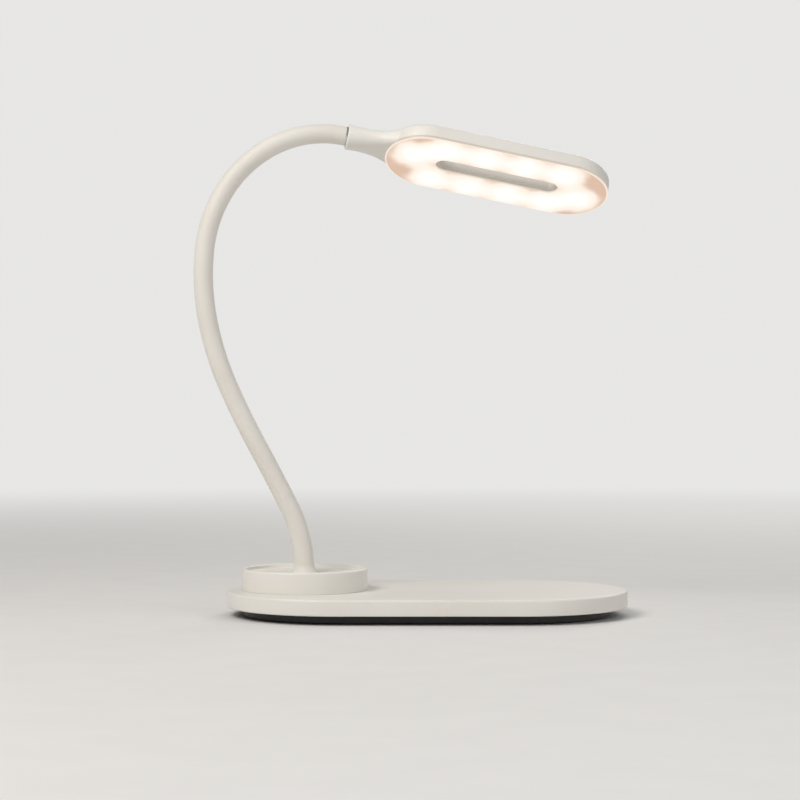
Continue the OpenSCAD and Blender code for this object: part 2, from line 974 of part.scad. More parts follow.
module sleeve(k) {
    begin = sleeve_gap / 2;
    end = k == links - 1 ? link_l : link_l - sleeve_gap / 2;
    color(sleeve_color)
        at_link(k)
            arc_tube(k, begin, end, sleeve_r, sleeve_bore_r);
}

module core(k) {
    begin = k == 0 ? 0 : core_gap / 2;
    end = k == links - 1 ? link_l : link_l - core_gap / 2;
    color(dark_steel_color)
        at_link(k)
            difference() {
                union() {
                    arc_tube(k, begin, end, core_r, core_bore_r);
                    if (k > 0) {
                        arc_rod(k, begin, begin + nose_wall, core_r);
                        sphere(ball_r);
                    }
                    if (k < links - 1)
                        arc_rod(k, end - cup_wall - cup_r, end, core_r);
                    if (k == 0)
                        core_root();
                }
                if (k > 0) {
                    arc_rod(k, 0, begin + nose_wall + 1, lead_bore_r);
                    post(lead_bore_r, -ball_r - cut, eps);
                }
                if (k < links - 1) {
                    arc_rod(k, end - cup_wall - cup_r - 1, link_l, lead_bore_r);
                    link_end(k)
                        sphere(cup_r);
                }
            }
}

// Straight root of the core, held in the arm foot
module core_root() {
    difference() {
        post(core_r, foot_socket_z - arm_z, eps);
        post(core_bore_r, foot_socket_z - arm_z - cut, cut);
    }
}

// Puts children at the end of link k, in the frame of the link's start
module link_end(k) {
    r = bend_radius(k);
    translate([r * (1 - cos(bends[k])), 0, r * sin(bends[k])])
        rotate([0, bends[k], 0])
            children();
}

module lead(k) {
    end = k == links - 1 ? link_l : link_l - lead_tail;
    color(lead_color)
        at_link(k) {
            arc_rod(k, 0, end, lead_r);
            if (k > 0)
                post(lead_r, -lead_nose, eps);
            if (k == 0)
                post(lead_r, tail_top_z - arm_z, eps);
            if (k == links - 1)
                link_end(k)
                    post(lead_r - 0.1, -tip_root, spigot_end);
        }
}

module arm_tip() {
    color(steel_color)
        at_link(links)
            difference() {
                union() {
                    post(tip_plug_r, -tip_plug_l, eps);
                    post(sleeve_r, 0, tip_flange_t);
                    post(spigot_r, 0, spigot_end);
                }
                post(tip_bore_r, -tip_plug_l - cut, spigot_end + cut);
                difference() {
                    post(spigot_r + cut, groove_x, groove_x + ring_t + 0.1);
                    post(groove_r, groove_x - cut, groove_x + ring_t + cut);
                }
            }
}

module snap_ring() {
    color(dark_steel_color)
        at_link(links)
            difference() {
                post(snap_r, groove_x + 0.05, groove_x + 0.05 + ring_t);
                post(groove_r + 0.05, groove_x - cut, groove_x + ring_t + cut);
                linear_extrude(spigot_end)
                    polygon([
                        [0, 0],
                        2 * snap_r * [cos(-snap_opening / 2), sin(-snap_opening / 2)],
                        2 * snap_r * [cos(snap_opening / 2), sin(snap_opening / 2)]
                    ]);
            }
}

// ---- Head ----

module neck() {
    end_r = neck_t / 2;
    edge_end = neck_start + neck_mouth_edge;
    color(body_color)
        at_head()
            difference() {
                union() {
                    difference() {
                        hull() {
                            rotate([0, 90, 0]) {
                                post(neck_mouth_d / 2 - neck_mouth_edge, neck_start, edge_end);
                                post(neck_mouth_d / 2, edge_end, neck_start + neck_mouth_run);
                            }
                            for (side = [-1, 1])
                                translate([0, side * (neck_half_w - end_r), -head_drop])
                                    rotate([0, 90, 0])
                                        post(end_r, neck_l + neck_into_ring - neck_end_run,
                                             neck_l + neck_into_ring);
                        }
                        translate([ring_x, 0, -head_drop])
                            plain_pill(ring_run, ring_r + neck_seat_gap, -head_t, head_t);
                    }
                    translate([neck_l - 1, -tongue_w / 2, -tongue_t / 2])
                        cube([tongue_end - neck_l + 1, tongue_w, tongue_t]);
                }
                rotate([0, 90, 0]) {
                    post(socket_bore_r, neck_start - cut, socket_end);
                    post(snap_r + ring_room, groove_x - ring_room, groove_x + ring_t + ring_room + 0.1);
                    post(neck_lead_r, neck_start, tongue_end + cut);
                }
                for (side = [-1, 1])
                    translate([tongue_screw_x, side * tongue_screw_y, 0])
                        post(tongue_screw_r + screw_pass_gap, -tongue_t, tongue_t);
            }
}

module neck_screws() {
    color(steel_color)
        at_head()
            for (side = [-1, 1])
                translate([tongue_screw_x, side * tongue_screw_y, -tongue_t / 2])
                    screw(tongue_screw_r, tongue_screw_head_r, tongue_screw_head_t,
                          light_screw_tip - head_drop + tongue_t / 2);
}

module head_shell() {
    color(body_color)
        at_ring()
            difference() {
                union() {
                    difference() {
                        pill(ring_run)
                            slab_outline(ring_r, shell_low, back_z, shell_edge_r, 0);
                        plain_pill(ring_run, shell_inner_r, shell_low - cut, shell_ceiling);
                    }
                    plain_pill(slot_run, slot_wall_r, shell_low, shell_ceiling + eps);
                    for (place = light_screw_places)
                        translate(place)
                            post(light_post_r, light_board_z + light_board_t, shell_ceiling + eps);
                    for (side = [-1, 1])
                        translate([tongue_screw_x - ring_x, side * tongue_screw_y, 0])
                            post(tongue_boss_r, head_drop + tongue_t / 2, shell_ceiling + eps);
                }
                plain_pill(slot_run, slot_r, shell_low - cut, back_z + cut);
                for (place = light_screw_places)
                    translate(place)
                        post(light_screw_r + screw_bore_gap, 0, light_screw_tip + 0.1);
                for (side = [-1, 1])
                    translate([tongue_screw_x - ring_x, side * tongue_screw_y, 0])
                        post(tongue_screw_r + screw_bore_gap, 0, light_screw_tip + 0.1);
                translate([-head_l / 2 - cut, -tongue_w / 2 - tongue_window_gap,
                           head_drop - tongue_t / 2 - tongue_window_gap])
                    cube([tongue_w / 2, tongue_w + 2 * tongue_window_gap,
                          tongue_t + 2 * tongue_window_gap]);
            }
}

module head_diffuser() {
    color(glow_color)
        at_ring()
            difference() {
                union() {
                    pill(ring_run)
                        slab_outline(ring_r, face_z, shell_low, 0, diffuser_edge_r);
                    difference() {
                        plain_pill(ring_run, shell_inner_r - lip_gap, face_z + cut, shell_low + lip_h);
                        plain_pill(ring_run, shell_inner_r - lip_gap - lip_wall, shell_low,
                                   shell_low + lip_h + cut);
                    }
                }
                plain_pill(slot_run, slot_r, face_z - cut, shell_low + cut);
            }
}

module light_board() {
    color(white_board_color)
        at_ring()
            difference() {
                plain_pill(ring_run, light_board_r, light_board_z, light_board_z + light_board_t);
                plain_pill(slot_run, light_board_slot_r, light_board_z - cut,
                           light_board_z + light_board_t + cut);
                for (place = light_screw_places)
                    translate(place)
                        post(light_screw_r + screw_pass_gap, light_board_z - cut,
                             light_board_z + light_board_t + cut);
                translate([-head_l, -head_w, light_board_z - cut])
                    cube([head_l - light_board_cut, 2 * head_w, light_board_t + 2 * cut]);
            }
}

module light_chips() {
    color(phosphor_color)
        at_ring()
            for (place = led_places)
                translate([place[0] - led_l / 2, place[1] - led_w / 2, light_board_z - led_t])
                    cube([led_l, led_w, led_t]);
}

module light_screws() {
    color(steel_color)
        at_ring()
            for (place = light_screw_places)
                translate([place[0], place[1], light_board_z])
                    screw(light_screw_r, light_screw_head_r, light_screw_head_t,
                          light_screw_tip - light_board_z);
}

module head_lead() {
    wire_r = 0.5;
    wire_y = 0.6;
    wire_z = light_board_z - head_drop - wire_r;
    split_x = tongue_end - 1;
    pad_x = ring_x - led_end_x - 3;
    color(lead_color)
        at_head()
            rotate([0, 90, 0]) {
                post(lead_r, socket_end + 0.5, split_x);
                for (side = [-1, 1])
                    translate([-wire_z, side * wire_y, 0])
                        post(wire_r, split_x - 1, pad_x);
            }
}

// ---- Nodes ----

base_deck();
base_cover();
non_slip_pad();
ballast_plate();
cover_screws();
collar();
collar_screws();
charging_coil();
ferrite_sheet();
coil_holder();
main_board();
board_screws();
charger_chip();
board_capacitors();
lead_sockets();
inlet_shell();
inlet_tongue();
touch_plate();
touch_lead();
coil_leads();
arm_lead_tail();
arm_foot();
foot_washer();
foot_nut();
foot_sleeve();  // sleeve_1
sleeve(1);  // sleeve_2
sleeve(2);  // sleeve_3
sleeve(3);  // sleeve_4
sleeve(4);  // sleeve_5
sleeve(5);  // sleeve_6
sleeve(6);  // sleeve_7
sleeve(7);  // sleeve_8
core(0);  // core_1
core(1);  // core_2
core(2);  // core_3
core(3);  // core_4
core(4);  // core_5
core(5);  // core_6
core(6);  // core_7
core(7);  // core_8
lead(0);  // lead_1
lead(1);  // lead_2
lead(2);  // lead_3
lead(3);  // lead_4
lead(4);  // lead_5
lead(5);  // lead_6
lead(6);  // lead_7
lead(7);  // lead_8
arm_tip();
snap_ring();
neck();
neck_screws();
head_shell();
head_diffuser();
light_board();
light_chips();
light_screws();
head_lead();
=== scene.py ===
"""Looks of a desk lamp: a flat plate with round ends, a dished collar, a bendable arm and a ring head.

All sizes are in metres, in the frame of the CAD model: +Z up, +X along the plate, +Y away from the camera.
"""

import json
import logging
import math
from dataclasses import dataclass
from enum import Enum

import bmesh
import bpy
import numpy as np
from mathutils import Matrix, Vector


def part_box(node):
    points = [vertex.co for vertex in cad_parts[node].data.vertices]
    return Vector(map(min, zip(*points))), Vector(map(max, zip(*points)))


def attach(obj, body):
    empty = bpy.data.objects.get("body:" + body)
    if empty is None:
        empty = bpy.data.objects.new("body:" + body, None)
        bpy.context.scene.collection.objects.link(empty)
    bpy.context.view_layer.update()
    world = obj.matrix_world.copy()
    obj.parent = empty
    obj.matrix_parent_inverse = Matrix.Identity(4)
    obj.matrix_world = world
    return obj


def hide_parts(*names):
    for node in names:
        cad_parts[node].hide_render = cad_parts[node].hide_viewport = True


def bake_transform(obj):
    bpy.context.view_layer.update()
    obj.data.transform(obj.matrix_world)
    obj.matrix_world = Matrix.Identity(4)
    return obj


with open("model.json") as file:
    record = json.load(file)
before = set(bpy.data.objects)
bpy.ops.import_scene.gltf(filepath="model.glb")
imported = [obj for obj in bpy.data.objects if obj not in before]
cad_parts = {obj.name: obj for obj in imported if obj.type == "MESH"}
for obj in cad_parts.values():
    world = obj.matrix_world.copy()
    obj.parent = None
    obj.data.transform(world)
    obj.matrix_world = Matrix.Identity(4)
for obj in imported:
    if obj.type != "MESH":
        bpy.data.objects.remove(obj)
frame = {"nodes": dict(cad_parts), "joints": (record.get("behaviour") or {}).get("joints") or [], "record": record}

MM = 0.001
SEAM_GAP = 0.002 * MM
SHORT_EDGE = 0.001 * MM
SHARP_DEGREES = 32.0

Color = tuple[float, float, float]
Profile = list[tuple[float, float]]
Socket = bpy.types.NodeSocket

log = logging.getLogger("lamp")


class Around(Enum):
    """Which parameters of a grid run round and join up: the first alone, or both."""

    ROWS = "rows"
    BOTH = "both"


class Rim(Enum):
    """Which rim of the ring head a point of its outline keeps its distance from."""

    EDGE = "edge"
    SLOT = "slot"


Outline = list[tuple[Rim, float, float]]


# ---- Surfaces as grids ----


def arc(cx: float, cz: float, r: float, start: float, end: float, steps: int) -> Profile:
    """Points of a round stretch of a profile: the centre plus r at equal steps of angle.

    Args:
        cx: Distance of the arc's centre from the axis.
        cz: Height of the arc's centre.
        r: Radius of the arc.
        start: First angle in degrees, 0 outwards and 90 up.
        end: Last angle in degrees.
        steps: Number of stretches.

    Returns:
        The points as (distance, height).
    """
    turn = np.radians(np.linspace(start, end, steps + 1))
    return list(zip(cx + r * np.cos(turn), cz + r * np.sin(turn)))


def grid_quads(rows: int, cols: int, around: Around) -> np.ndarray:
    """Faces of a grid: each cell joins a vertex with its right, upper right and upper neighbour.

    Args:
        rows: Number of vertices along the first parameter.
        cols: Number of vertices along the second parameter.
        around: Which parameters run round and join up.

    Returns:
        One row of four vertex numbers for each face.
    """
    cells = cols if around is Around.BOTH else cols - 1
    a, b = np.meshgrid(np.arange(rows), np.arange(cells), indexing="ij")
    up, side = (a + 1) % rows, (b + 1) % cols
    corners = [a * cols + b, up * cols + b, up * cols + side, a * cols + side]
    return np.stack(corners, axis=-1).reshape(-1, 4)


@dataclass
class Pill:
    """A path with two round ends: a centre and an outward direction for each of its points.

    Attributes:
        run: Half the distance between the two end centres.
        bend_steps: Stretches in each round end.
        run_steps: Stretches in each straight side.
    """

    run: float
    bend_steps: int = 64
    run_steps: int = 16

    def rails(self) -> tuple[np.ndarray, np.ndarray]:
        """Centres and outward directions: the ends turn about (run, 0) and (-run, 0), the sides slide.

        Returns:
            Two arrays of one (x, y) row for each point.
        """
        turn = np.linspace(-np.pi / 2, np.pi / 2, self.bend_steps, endpoint=False)
        slide = np.linspace(1, -1, self.run_steps, endpoint=False)
        end = np.stack([np.cos(turn), np.sin(turn)], axis=1)
        side = np.stack([np.zeros_like(slide), np.ones_like(slide)], axis=1)
        half = np.concatenate([end, side])
        middle = np.concatenate([np.ones_like(turn), slide])
        centres = np.zeros((2 * len(half), 2))
        centres[:, 0] = self.run * np.concatenate([middle, -middle])
        return centres, np.concatenate([half, -half])

    def sweep(self, profile: Profile) -> np.ndarray:
        """Carries a profile round the path: point = centre + distance * outward, at the profile's height.

        Args:
            profile: Points as (distance from the middle line, height).

        Returns:
            Vertices as an array of path point, profile point and (x, y, z).
        """
        centres, outward = self.rails()
        shape = np.array(profile)
        flat = centres[:, None, :] + shape[None, :, :1] * outward[:, None, :]
        high = np.broadcast_to(shape[None, :, 1:], (len(centres), len(shape), 1))
        return np.concatenate([flat, high], axis=2)


@dataclass
class Place:
    """A turned and shifted frame that local vertices are carried into.

    Attributes:
        origin: Where the local origin lies.
        axes: Rows are the local x, y and z directions.
    """

    origin: np.ndarray
    axes: np.ndarray

    def carry(self, points: np.ndarray) -> np.ndarray:
        """Local points in the row frame: origin + x * X + y * Y + z * Z."""
        return self.origin + points @ self.axes

    def shifted(self, offset: tuple[float, float, float]) -> "Place":
        """The same frame, moved by an offset along its own axes."""
        return Place(self.carry(np.array(offset)), self.axes)


def mesh_piece(name: str, vertices: np.ndarray, quads: np.ndarray, finish: bpy.types.Material,
               sharp: float = SHARP_DEGREES) -> bpy.types.Object:
    """Puts a surface into the scene, joined at its seams and poles and facing outwards.

    Args:
        name: Name of the piece.
        vertices: Corner points, in any grid shape whose last axis is (x, y, z).
        quads: Four vertex numbers for each face.
        finish: Its material.
        sharp: Edges that turn by more than this many degrees stay crisp.

    Returns:
        The new object, at the origin.
    """
    mesh = bpy.data.meshes.new(name)
    mesh.from_pydata(vertices.reshape(-1, 3).tolist(), [], quads.tolist())
    obj = bpy.data.objects.new(name, mesh)
    bpy.context.scene.collection.objects.link(obj)
    tidy_mesh(mesh, sharp)
    mesh.materials.append(finish)
    log.info("%s: %d faces", name, len(mesh.polygons))
    return obj


def tidy_mesh(mesh: bpy.types.Mesh, sharp: float) -> None:
    """Merges doubles, drops faces with no area, turns faces outwards and shades smoothly.

    Args:
        mesh: The mesh to tidy.
        sharp: Edges that turn by more than this many degrees stay crisp.
    """
    work = bmesh.new()
    work.from_mesh(mesh)
    bmesh.ops.remove_doubles(work, verts=work.verts, dist=SEAM_GAP)
    bmesh.ops.dissolve_degenerate(work, edges=work.edges, dist=SHORT_EDGE)
    bmesh.ops.recalc_face_normals(work, faces=work.faces)
    work.to_mesh(mesh)
    work.free()
    mesh.polygons.foreach_set("use_smooth", [True] * len(mesh.polygons))
    mesh.set_sharp_from_angle(angle=math.radians(sharp))


def cut_away(obj: bpy.types.Object, cutter: bpy.types.Object) -> None:
    """Takes the cutter's space out of a piece and removes the cutter.

    Args:
        obj: The piece.
        cutter: A closed mesh.
    """
    change = obj.modifiers.new("cut", "BOOLEAN")
    change.object, change.operation, change.solver = cutter, "DIFFERENCE", "EXACT"
    graph = bpy.context.evaluated_depsgraph_get()
    cut_mesh = bpy.data.meshes.new_from_object(obj.evaluated_get(graph))
    obj.modifiers.clear()
    old, obj.data = obj.data, cut_mesh
    bpy.data.meshes.remove(old)
    bpy.data.objects.remove(cutter)
    tidy_mesh(obj.data, SHARP_DEGREES)


def node_points(name: str) -> np.ndarray:
    """Vertices of a CAD node.

    Args:
        name: Name of the node.

    Returns:
        One (x, y, z) row for each vertex.
    """
    vertices = frame["nodes"][name].data.vertices
    points = np.empty(len(vertices) * 3)
    vertices.foreach_get("co", points)
    return points.reshape(-1, 3)


def group_middles(points: np.ndarray, reach: float) -> np.ndarray:
    """Middle of each group of points: half of its lowest plus its highest corner.

    Args:
        points: One row for each point.
        reach: Points nearer than this to a group's first point belong to the group.

    Returns:
        One row for each group.
    """
    middles: list[np.ndarray] = []
    while len(points):
        near = np.linalg.norm(points - points[0], axis=1) < reach
        middles.append((points[near].min(0) + points[near].max(0)) / 2)
        points = points[~near]
    return np.array(middles)


# ---- Finishes ----


class NodeSheet:
    """A material's node tree, filled by short calls."""

    def __init__(self, name: str) -> None:
        """Starts a material with one Principled shader.

        Args:
            name: Name of the material.
        """
        self.material = bpy.data.materials.new(name)
        self.material.use_nodes = True
        self.tree = self.material.node_tree
        self.tree.nodes.clear()
        self.shader = self.add("ShaderNodeBsdfPrincipled")
        output = self.add("ShaderNodeOutputMaterial")
        self.link(self.shader.outputs["BSDF"], output.inputs["Surface"])
        self.coords = self.add("ShaderNodeTexCoord").outputs["Object"]

    def add(self, kind: str, **settings: object) -> bpy.types.Node:
        """Adds a node and sets its properties.

        Args:
            kind: Blender's name of the node type.
            **settings: Properties to set on it.

        Returns:
            The node.
        """
        node = self.tree.nodes.new(kind)
        for key, value in settings.items():
            setattr(node, key, value)
        return node

    def link(self, source: Socket, target: Socket) -> None:
        """Joins two sockets."""
        self.tree.links.new(source, target)

    def set(self, **values: object) -> None:
        """Sets plain values on the shader's own sockets; an underscore in a name stands for a space."""
        for key, value in values.items():
            self.shader.inputs[key.replace("_", " ")].default_value = value

    def noise(self, scale: float, detail: float = 2.0, stretch: tuple[float, float, float] = (1, 1, 1),
              coords: Socket | None = None) -> Socket:
        """Cloudy noise between 0 and 1.

        Args:
            scale: Features for each metre, or for each unit of the coordinates.
            detail: Number of finer layers.
            stretch: Scale along each axis.
            coords: Where the pattern is read; the object's own coordinates if left out.

        Returns:
            The noise value's socket.
        """
        mapping = self.add("ShaderNodeMapping")
        mapping.inputs["Scale"].default_value = stretch
        self.link(coords or self.coords, mapping.inputs["Vector"])
        node = self.add("ShaderNodeTexNoise")
        node.inputs["Scale"].default_value = scale
        node.inputs["Detail"].default_value = detail
        self.link(mapping.outputs["Vector"], node.inputs["Vector"])
        return node.outputs["Fac"]

    def span(self, value: Socket, low: float, high: float, to_low: float, to_high: float) -> Socket:
        """Stretches a value from one range to another, held at its ends.

        Args:
            value: The value's socket.
            low: Value that becomes to_low.
            high: Value that becomes to_high.
            to_low: Result at low.
            to_high: Result at high.

        Returns:
            The result's socket.
        """
        node = self.add("ShaderNodeMapRange", interpolation_type="SMOOTHSTEP")
        for key, number in (("From Min", low), ("From Max", high), ("To Min", to_low), ("To Max", to_high)):
            node.inputs[key].default_value = number
        self.link(value, node.inputs["Value"])
        return node.outputs["Result"]

    def math(self, operation: str, a: Socket, b: Socket | float) -> Socket:
        """One sum of two values.

        Args:
            operation: What is done with them, such as ADD or MULTIPLY.
            a: The first value's socket.
            b: The second value, or its socket.

        Returns:
            The result's socket.
        """
        node = self.add("ShaderNodeMath", operation=operation)
        self.link(a, node.inputs[0])
        if isinstance(b, (int, float)):
            node.inputs[1].default_value = b
        else:
            self.link(b, node.inputs[1])
        return node.outputs["Value"]

    def blend(self, factor: Socket, first: Color | Socket, second: Color | Socket) -> Socket:
        """Mixes two colours.

        Args:
            factor: 0 for the first colour and 1 for the second.
            first: A colour, or its socket.
            second: A colour, or its socket.

        Returns:
            The mixed colour's socket.
        """
        node = self.add("ShaderNodeMix", data_type="RGBA")
        self.link(factor, node.inputs["Factor"])
        # In a colour mix, inputs 6 and 7 are the two colours and output 2 is the mixed one.
        for socket, color in ((node.inputs[6], first), (node.inputs[7], second)):
            if isinstance(color, tuple):
                socket.default_value = (*color, 1)
            else:
                self.link(color, socket)
        return node.outputs[2]

    def bump(self, *layers: tuple[Socket, float]) -> None:
        """Raises the surface by layers of height, one on the other.

        Args:
            *layers: For each layer its height's socket and its depth in metres.
        """
        normal = None
        for height, depth in layers:
            node = self.add("ShaderNodeBump")
            node.inputs["Strength"].default_value = 1
            node.inputs["Distance"].default_value = depth
            self.link(height, node.inputs["Height"])
            if normal is not None:
                self.link(normal, node.inputs["Normal"])
            normal = node.outputs["Normal"]
        self.link(normal, self.shader.inputs["Normal"])


@dataclass(frozen=True)
class MouldedPlastic:
    """Moulded plastic: fine spark-eroded grain, a slow drift of tone and uneven polish.

    Attributes:
        name: Name of the material.
        color: Its colour.
        shade: The colour that it drifts to.
        roughness: Middle of its roughness.
        grain: Grains for each metre.
        depth: Depth of the grain in metres.
        coat: Weight of a thin gloss on top.
    """

    name: str
    color: Color
    shade: Color
    roughness: float = 0.45
    grain: float = 1500.0
    depth: float = 1.2e-5
    coat: float = 0.0

    def build(self) -> bpy.types.Material:
        """Makes the material: noise drives the tone, the roughness and two layers of bump.

        Returns:
            The material.
        """
        sheet = NodeSheet(self.name)
        drift = sheet.noise(14, 3)
        grain = sheet.noise(self.grain, 2)
        coarse = sheet.noise(self.grain / 3.5, 3)
        tone = sheet.math("ADD", sheet.span(drift, 0.35, 0.65, 0, 0.7), sheet.span(grain, 0.3, 0.7, 0, 0.3))
        sheet.link(sheet.blend(tone, self.color, self.shade), sheet.shader.inputs["Base Color"])
        polish = sheet.span(coarse, 0.3, 0.7, self.roughness - 0.06, self.roughness + 0.08)
        sheet.link(polish, sheet.shader.inputs["Roughness"])
        sheet.set(Coat_Weight=self.coat, Coat_Roughness=0.25)
        sheet.bump((coarse, self.depth * 2), (grain, self.depth))
        return sheet.material


@dataclass(frozen=True)
class SiliconeSkin:
    """Soft silicone: matt and slightly velvety, drawn lengthwise, with a few specks of dust.

    Attributes:
        name: Name of the material.
        color: Its colour.
        shade: The colour that it drifts to.
    """

    name: str
    color: Color
    shade: Color

    def build(self) -> bpy.types.Material:
        """Makes the material: it reads the skin's own map, along and round the arm, in metres.

        Returns:
            The material.
        """
        sheet = NodeSheet(self.name)
        skin = sheet.add("ShaderNodeAttribute", attribute_name="skin").outputs["Vector"]
        drift = sheet.noise(22, 3, coords=skin)
        draw = sheet.noise(900, 2, (0.12, 1, 1), skin)
        grain = sheet.noise(1800, 2, coords=skin)
        dust = sheet.add("ShaderNodeTexVoronoi")
        dust.inputs["Scale"].default_value = 190
        sheet.link(skin, dust.inputs["Vector"])
        speck = sheet.span(dust.outputs["Distance"], 0.03, 0.06, 0.22, 0)
        tone = sheet.math("ADD", sheet.span(drift, 0.35, 0.65, 0, 0.65), sheet.span(draw, 0.3, 0.7, 0, 0.35))
        body = sheet.blend(tone, self.color, self.shade)
        sheet.link(sheet.blend(speck, body, (0.97, 0.96, 0.94)), sheet.shader.inputs["Base Color"])
        sheet.link(sheet.span(draw, 0.3, 0.7, 0.5, 0.64), sheet.shader.inputs["Roughness"])
        sheet.set(Sheen_Weight=0.12, Sheen_Roughness=0.4)
        sheet.bump((draw, 1.4e-5), (grain, 0.8e-5))
        return sheet.material


@dataclass(frozen=True)
class BareMetal:
    """Metal with fine brush lines and patches of dulled polish.

    Attributes:
        name: Name of the material.
        color: Its colour.
        stain: The colour of its duller patches.
        roughness: Middle of its roughness.
        lines: Brush lines for each metre.
    """

    name: str
    color: Color
    stain: Color
    roughness: float = 0.32
    lines: float = 2200.0

    def build(self) -> bpy.types.Material:
        """Makes the material: stretched noise gives the brush lines, slow noise the patches.

        Returns:
            The material.
        """
        sheet = NodeSheet(self.name)
        lines = sheet.noise(self.lines, 2, (1, 1, 0.06))
        patch = sheet.noise(120, 4)
        sheet.link(sheet.blend(sheet.span(patch, 0.4, 0.7, 0, 0.6), self.color, self.stain),
                   sheet.shader.inputs["Base Color"])
        sheet.set(Metallic=1.0)
        sheet.link(sheet.span(lines, 0.3, 0.7, self.roughness - 0.08, self.roughness + 0.1),
                   sheet.shader.inputs["Roughness"])
        sheet.bump((lines, 0.6e-5))
        return sheet.material


@dataclass(frozen=True)
class WoundMetal:
    """Metal wound from wire: ridges at each turn, with painted shade in the gaps between them.

    Attributes:
        name: Name of the material.
        color: Colour of the wire.
        gap: Painted shade between the turns: a darker copy of the wire's colour.
        turns: Turns for each metre.
        middle: A point on the winding's axis.
    """

    name: str
    color: Color
    gap: Color
    turns: float
    middle: tuple[float, float, float]

    def build(self) -> bpy.types.Material:
        """Makes the material: rings about the middle give the turns.

        Returns:
            The material.
        """
        sheet = NodeSheet(self.name)
        mapping = sheet.add("ShaderNodeMapping")
        mapping.inputs["Location"].default_value = tuple(-c for c in self.middle)
        sheet.link(sheet.coords, mapping.inputs["Vector"])
        wave = sheet.add("ShaderNodeTexWave", wave_type="RINGS", rings_direction="Z")
        # At scale 1 the wave texture has 20 / (2 pi) rings for each unit.
        wave.inputs["Scale"].default_value = self.turns / 20 * 2 * math.pi
        sheet.link(mapping.outputs["Vector"], wave.inputs["Vector"])
        ridge = wave.outputs["Fac"]
        # Painted shade: the wire's colour darkens to the gap colour between the turns.
        sheet.link(sheet.blend(sheet.span(ridge, 0.1, 0.5, 1, 0), self.color, self.gap),
                   sheet.shader.inputs["Base Color"])
        sheet.set(Metallic=1.0, Coat_Weight=0.4, Coat_Roughness=0.2)
        sheet.link(sheet.span(sheet.noise(700, 2), 0.3, 0.7, 0.28, 0.42), sheet.shader.inputs["Roughness"])
        sheet.bump((ridge, 6e-5))
        return sheet.material


@dataclass(frozen=True)
class PrintedBoard:
    """A circuit board: lacquer over faint tracks, with a fine weave below.

    Attributes:
        name: Name of the material.
        lacquer: Colour of the lacquer.
        track: Colour where a track lies under it.
    """

    name: str
    lacquer: Color
    track: Color

    def build(self) -> bpy.types.Material:
        """Makes the material: the edges between square cells give the tracks.

        Returns:
            The material.
        """
        sheet = NodeSheet(self.name)
        cells = sheet.add("ShaderNodeTexVoronoi", distance="MANHATTAN", feature="F1")
        cells.inputs["Scale"].default_value = 260
        cells.inputs["Randomness"].default_value = 0.7
        sheet.link(sheet.coords, cells.inputs["Vector"])
        track = sheet.span(cells.outputs["Distance"], 0.42, 0.5, 0, 1)
        sheet.link(sheet.blend(track, self.lacquer, self.track), sheet.shader.inputs["Base Color"])
        weave = sheet.noise(3000, 1)
        sheet.link(sheet.span(weave, 0.3, 0.7, 0.25, 0.4), sheet.shader.inputs["Roughness"])
        sheet.bump((track, 1.5e-5), (weave, 0.5e-5))
        return sheet.material


@dataclass(frozen=True)
class MouldedRubber:
    """Dark soft rubber with a moulded waffle of small studs.

    Attributes:
        name: Name of the material.
        color: Its colour.
        shade: Its duller colour.
        pitch: Distance between two studs in metres, or 0 for none.
    """

    name: str
    color: Color
    shade: Color
    pitch: float = 0.0

    def build(self) -> bpy.types.Material:
        """Makes the material: cells on an even grid give the studs, noise the dull bloom.

        Returns:
            The material.
        """
        sheet = NodeSheet(self.name)
        bloom = sheet.noise(60, 4)
        grain = sheet.noise(1600, 2)
        sheet.link(sheet.blend(sheet.span(bloom, 0.35, 0.7, 0, 1), self.color, self.shade),
                   sheet.shader.inputs["Base Color"])
        sheet.link(sheet.span(bloom, 0.3, 0.7, 0.55, 0.8), sheet.shader.inputs["Roughness"])
        layers = [(grain, 2e-5)]
        if self.pitch:
            cells = sheet.add("ShaderNodeTexVoronoi", feature="F1")
            cells.inputs["Scale"].default_value = 1 / self.pitch
            cells.inputs["Randomness"].default_value = 0
            sheet.link(sheet.coords, cells.inputs["Vector"])
            layers.append((sheet.span(cells.outputs["Distance"], 0.2, 0.34, 1, 0), 3e-4))
        sheet.bump(*layers)
        return sheet.material


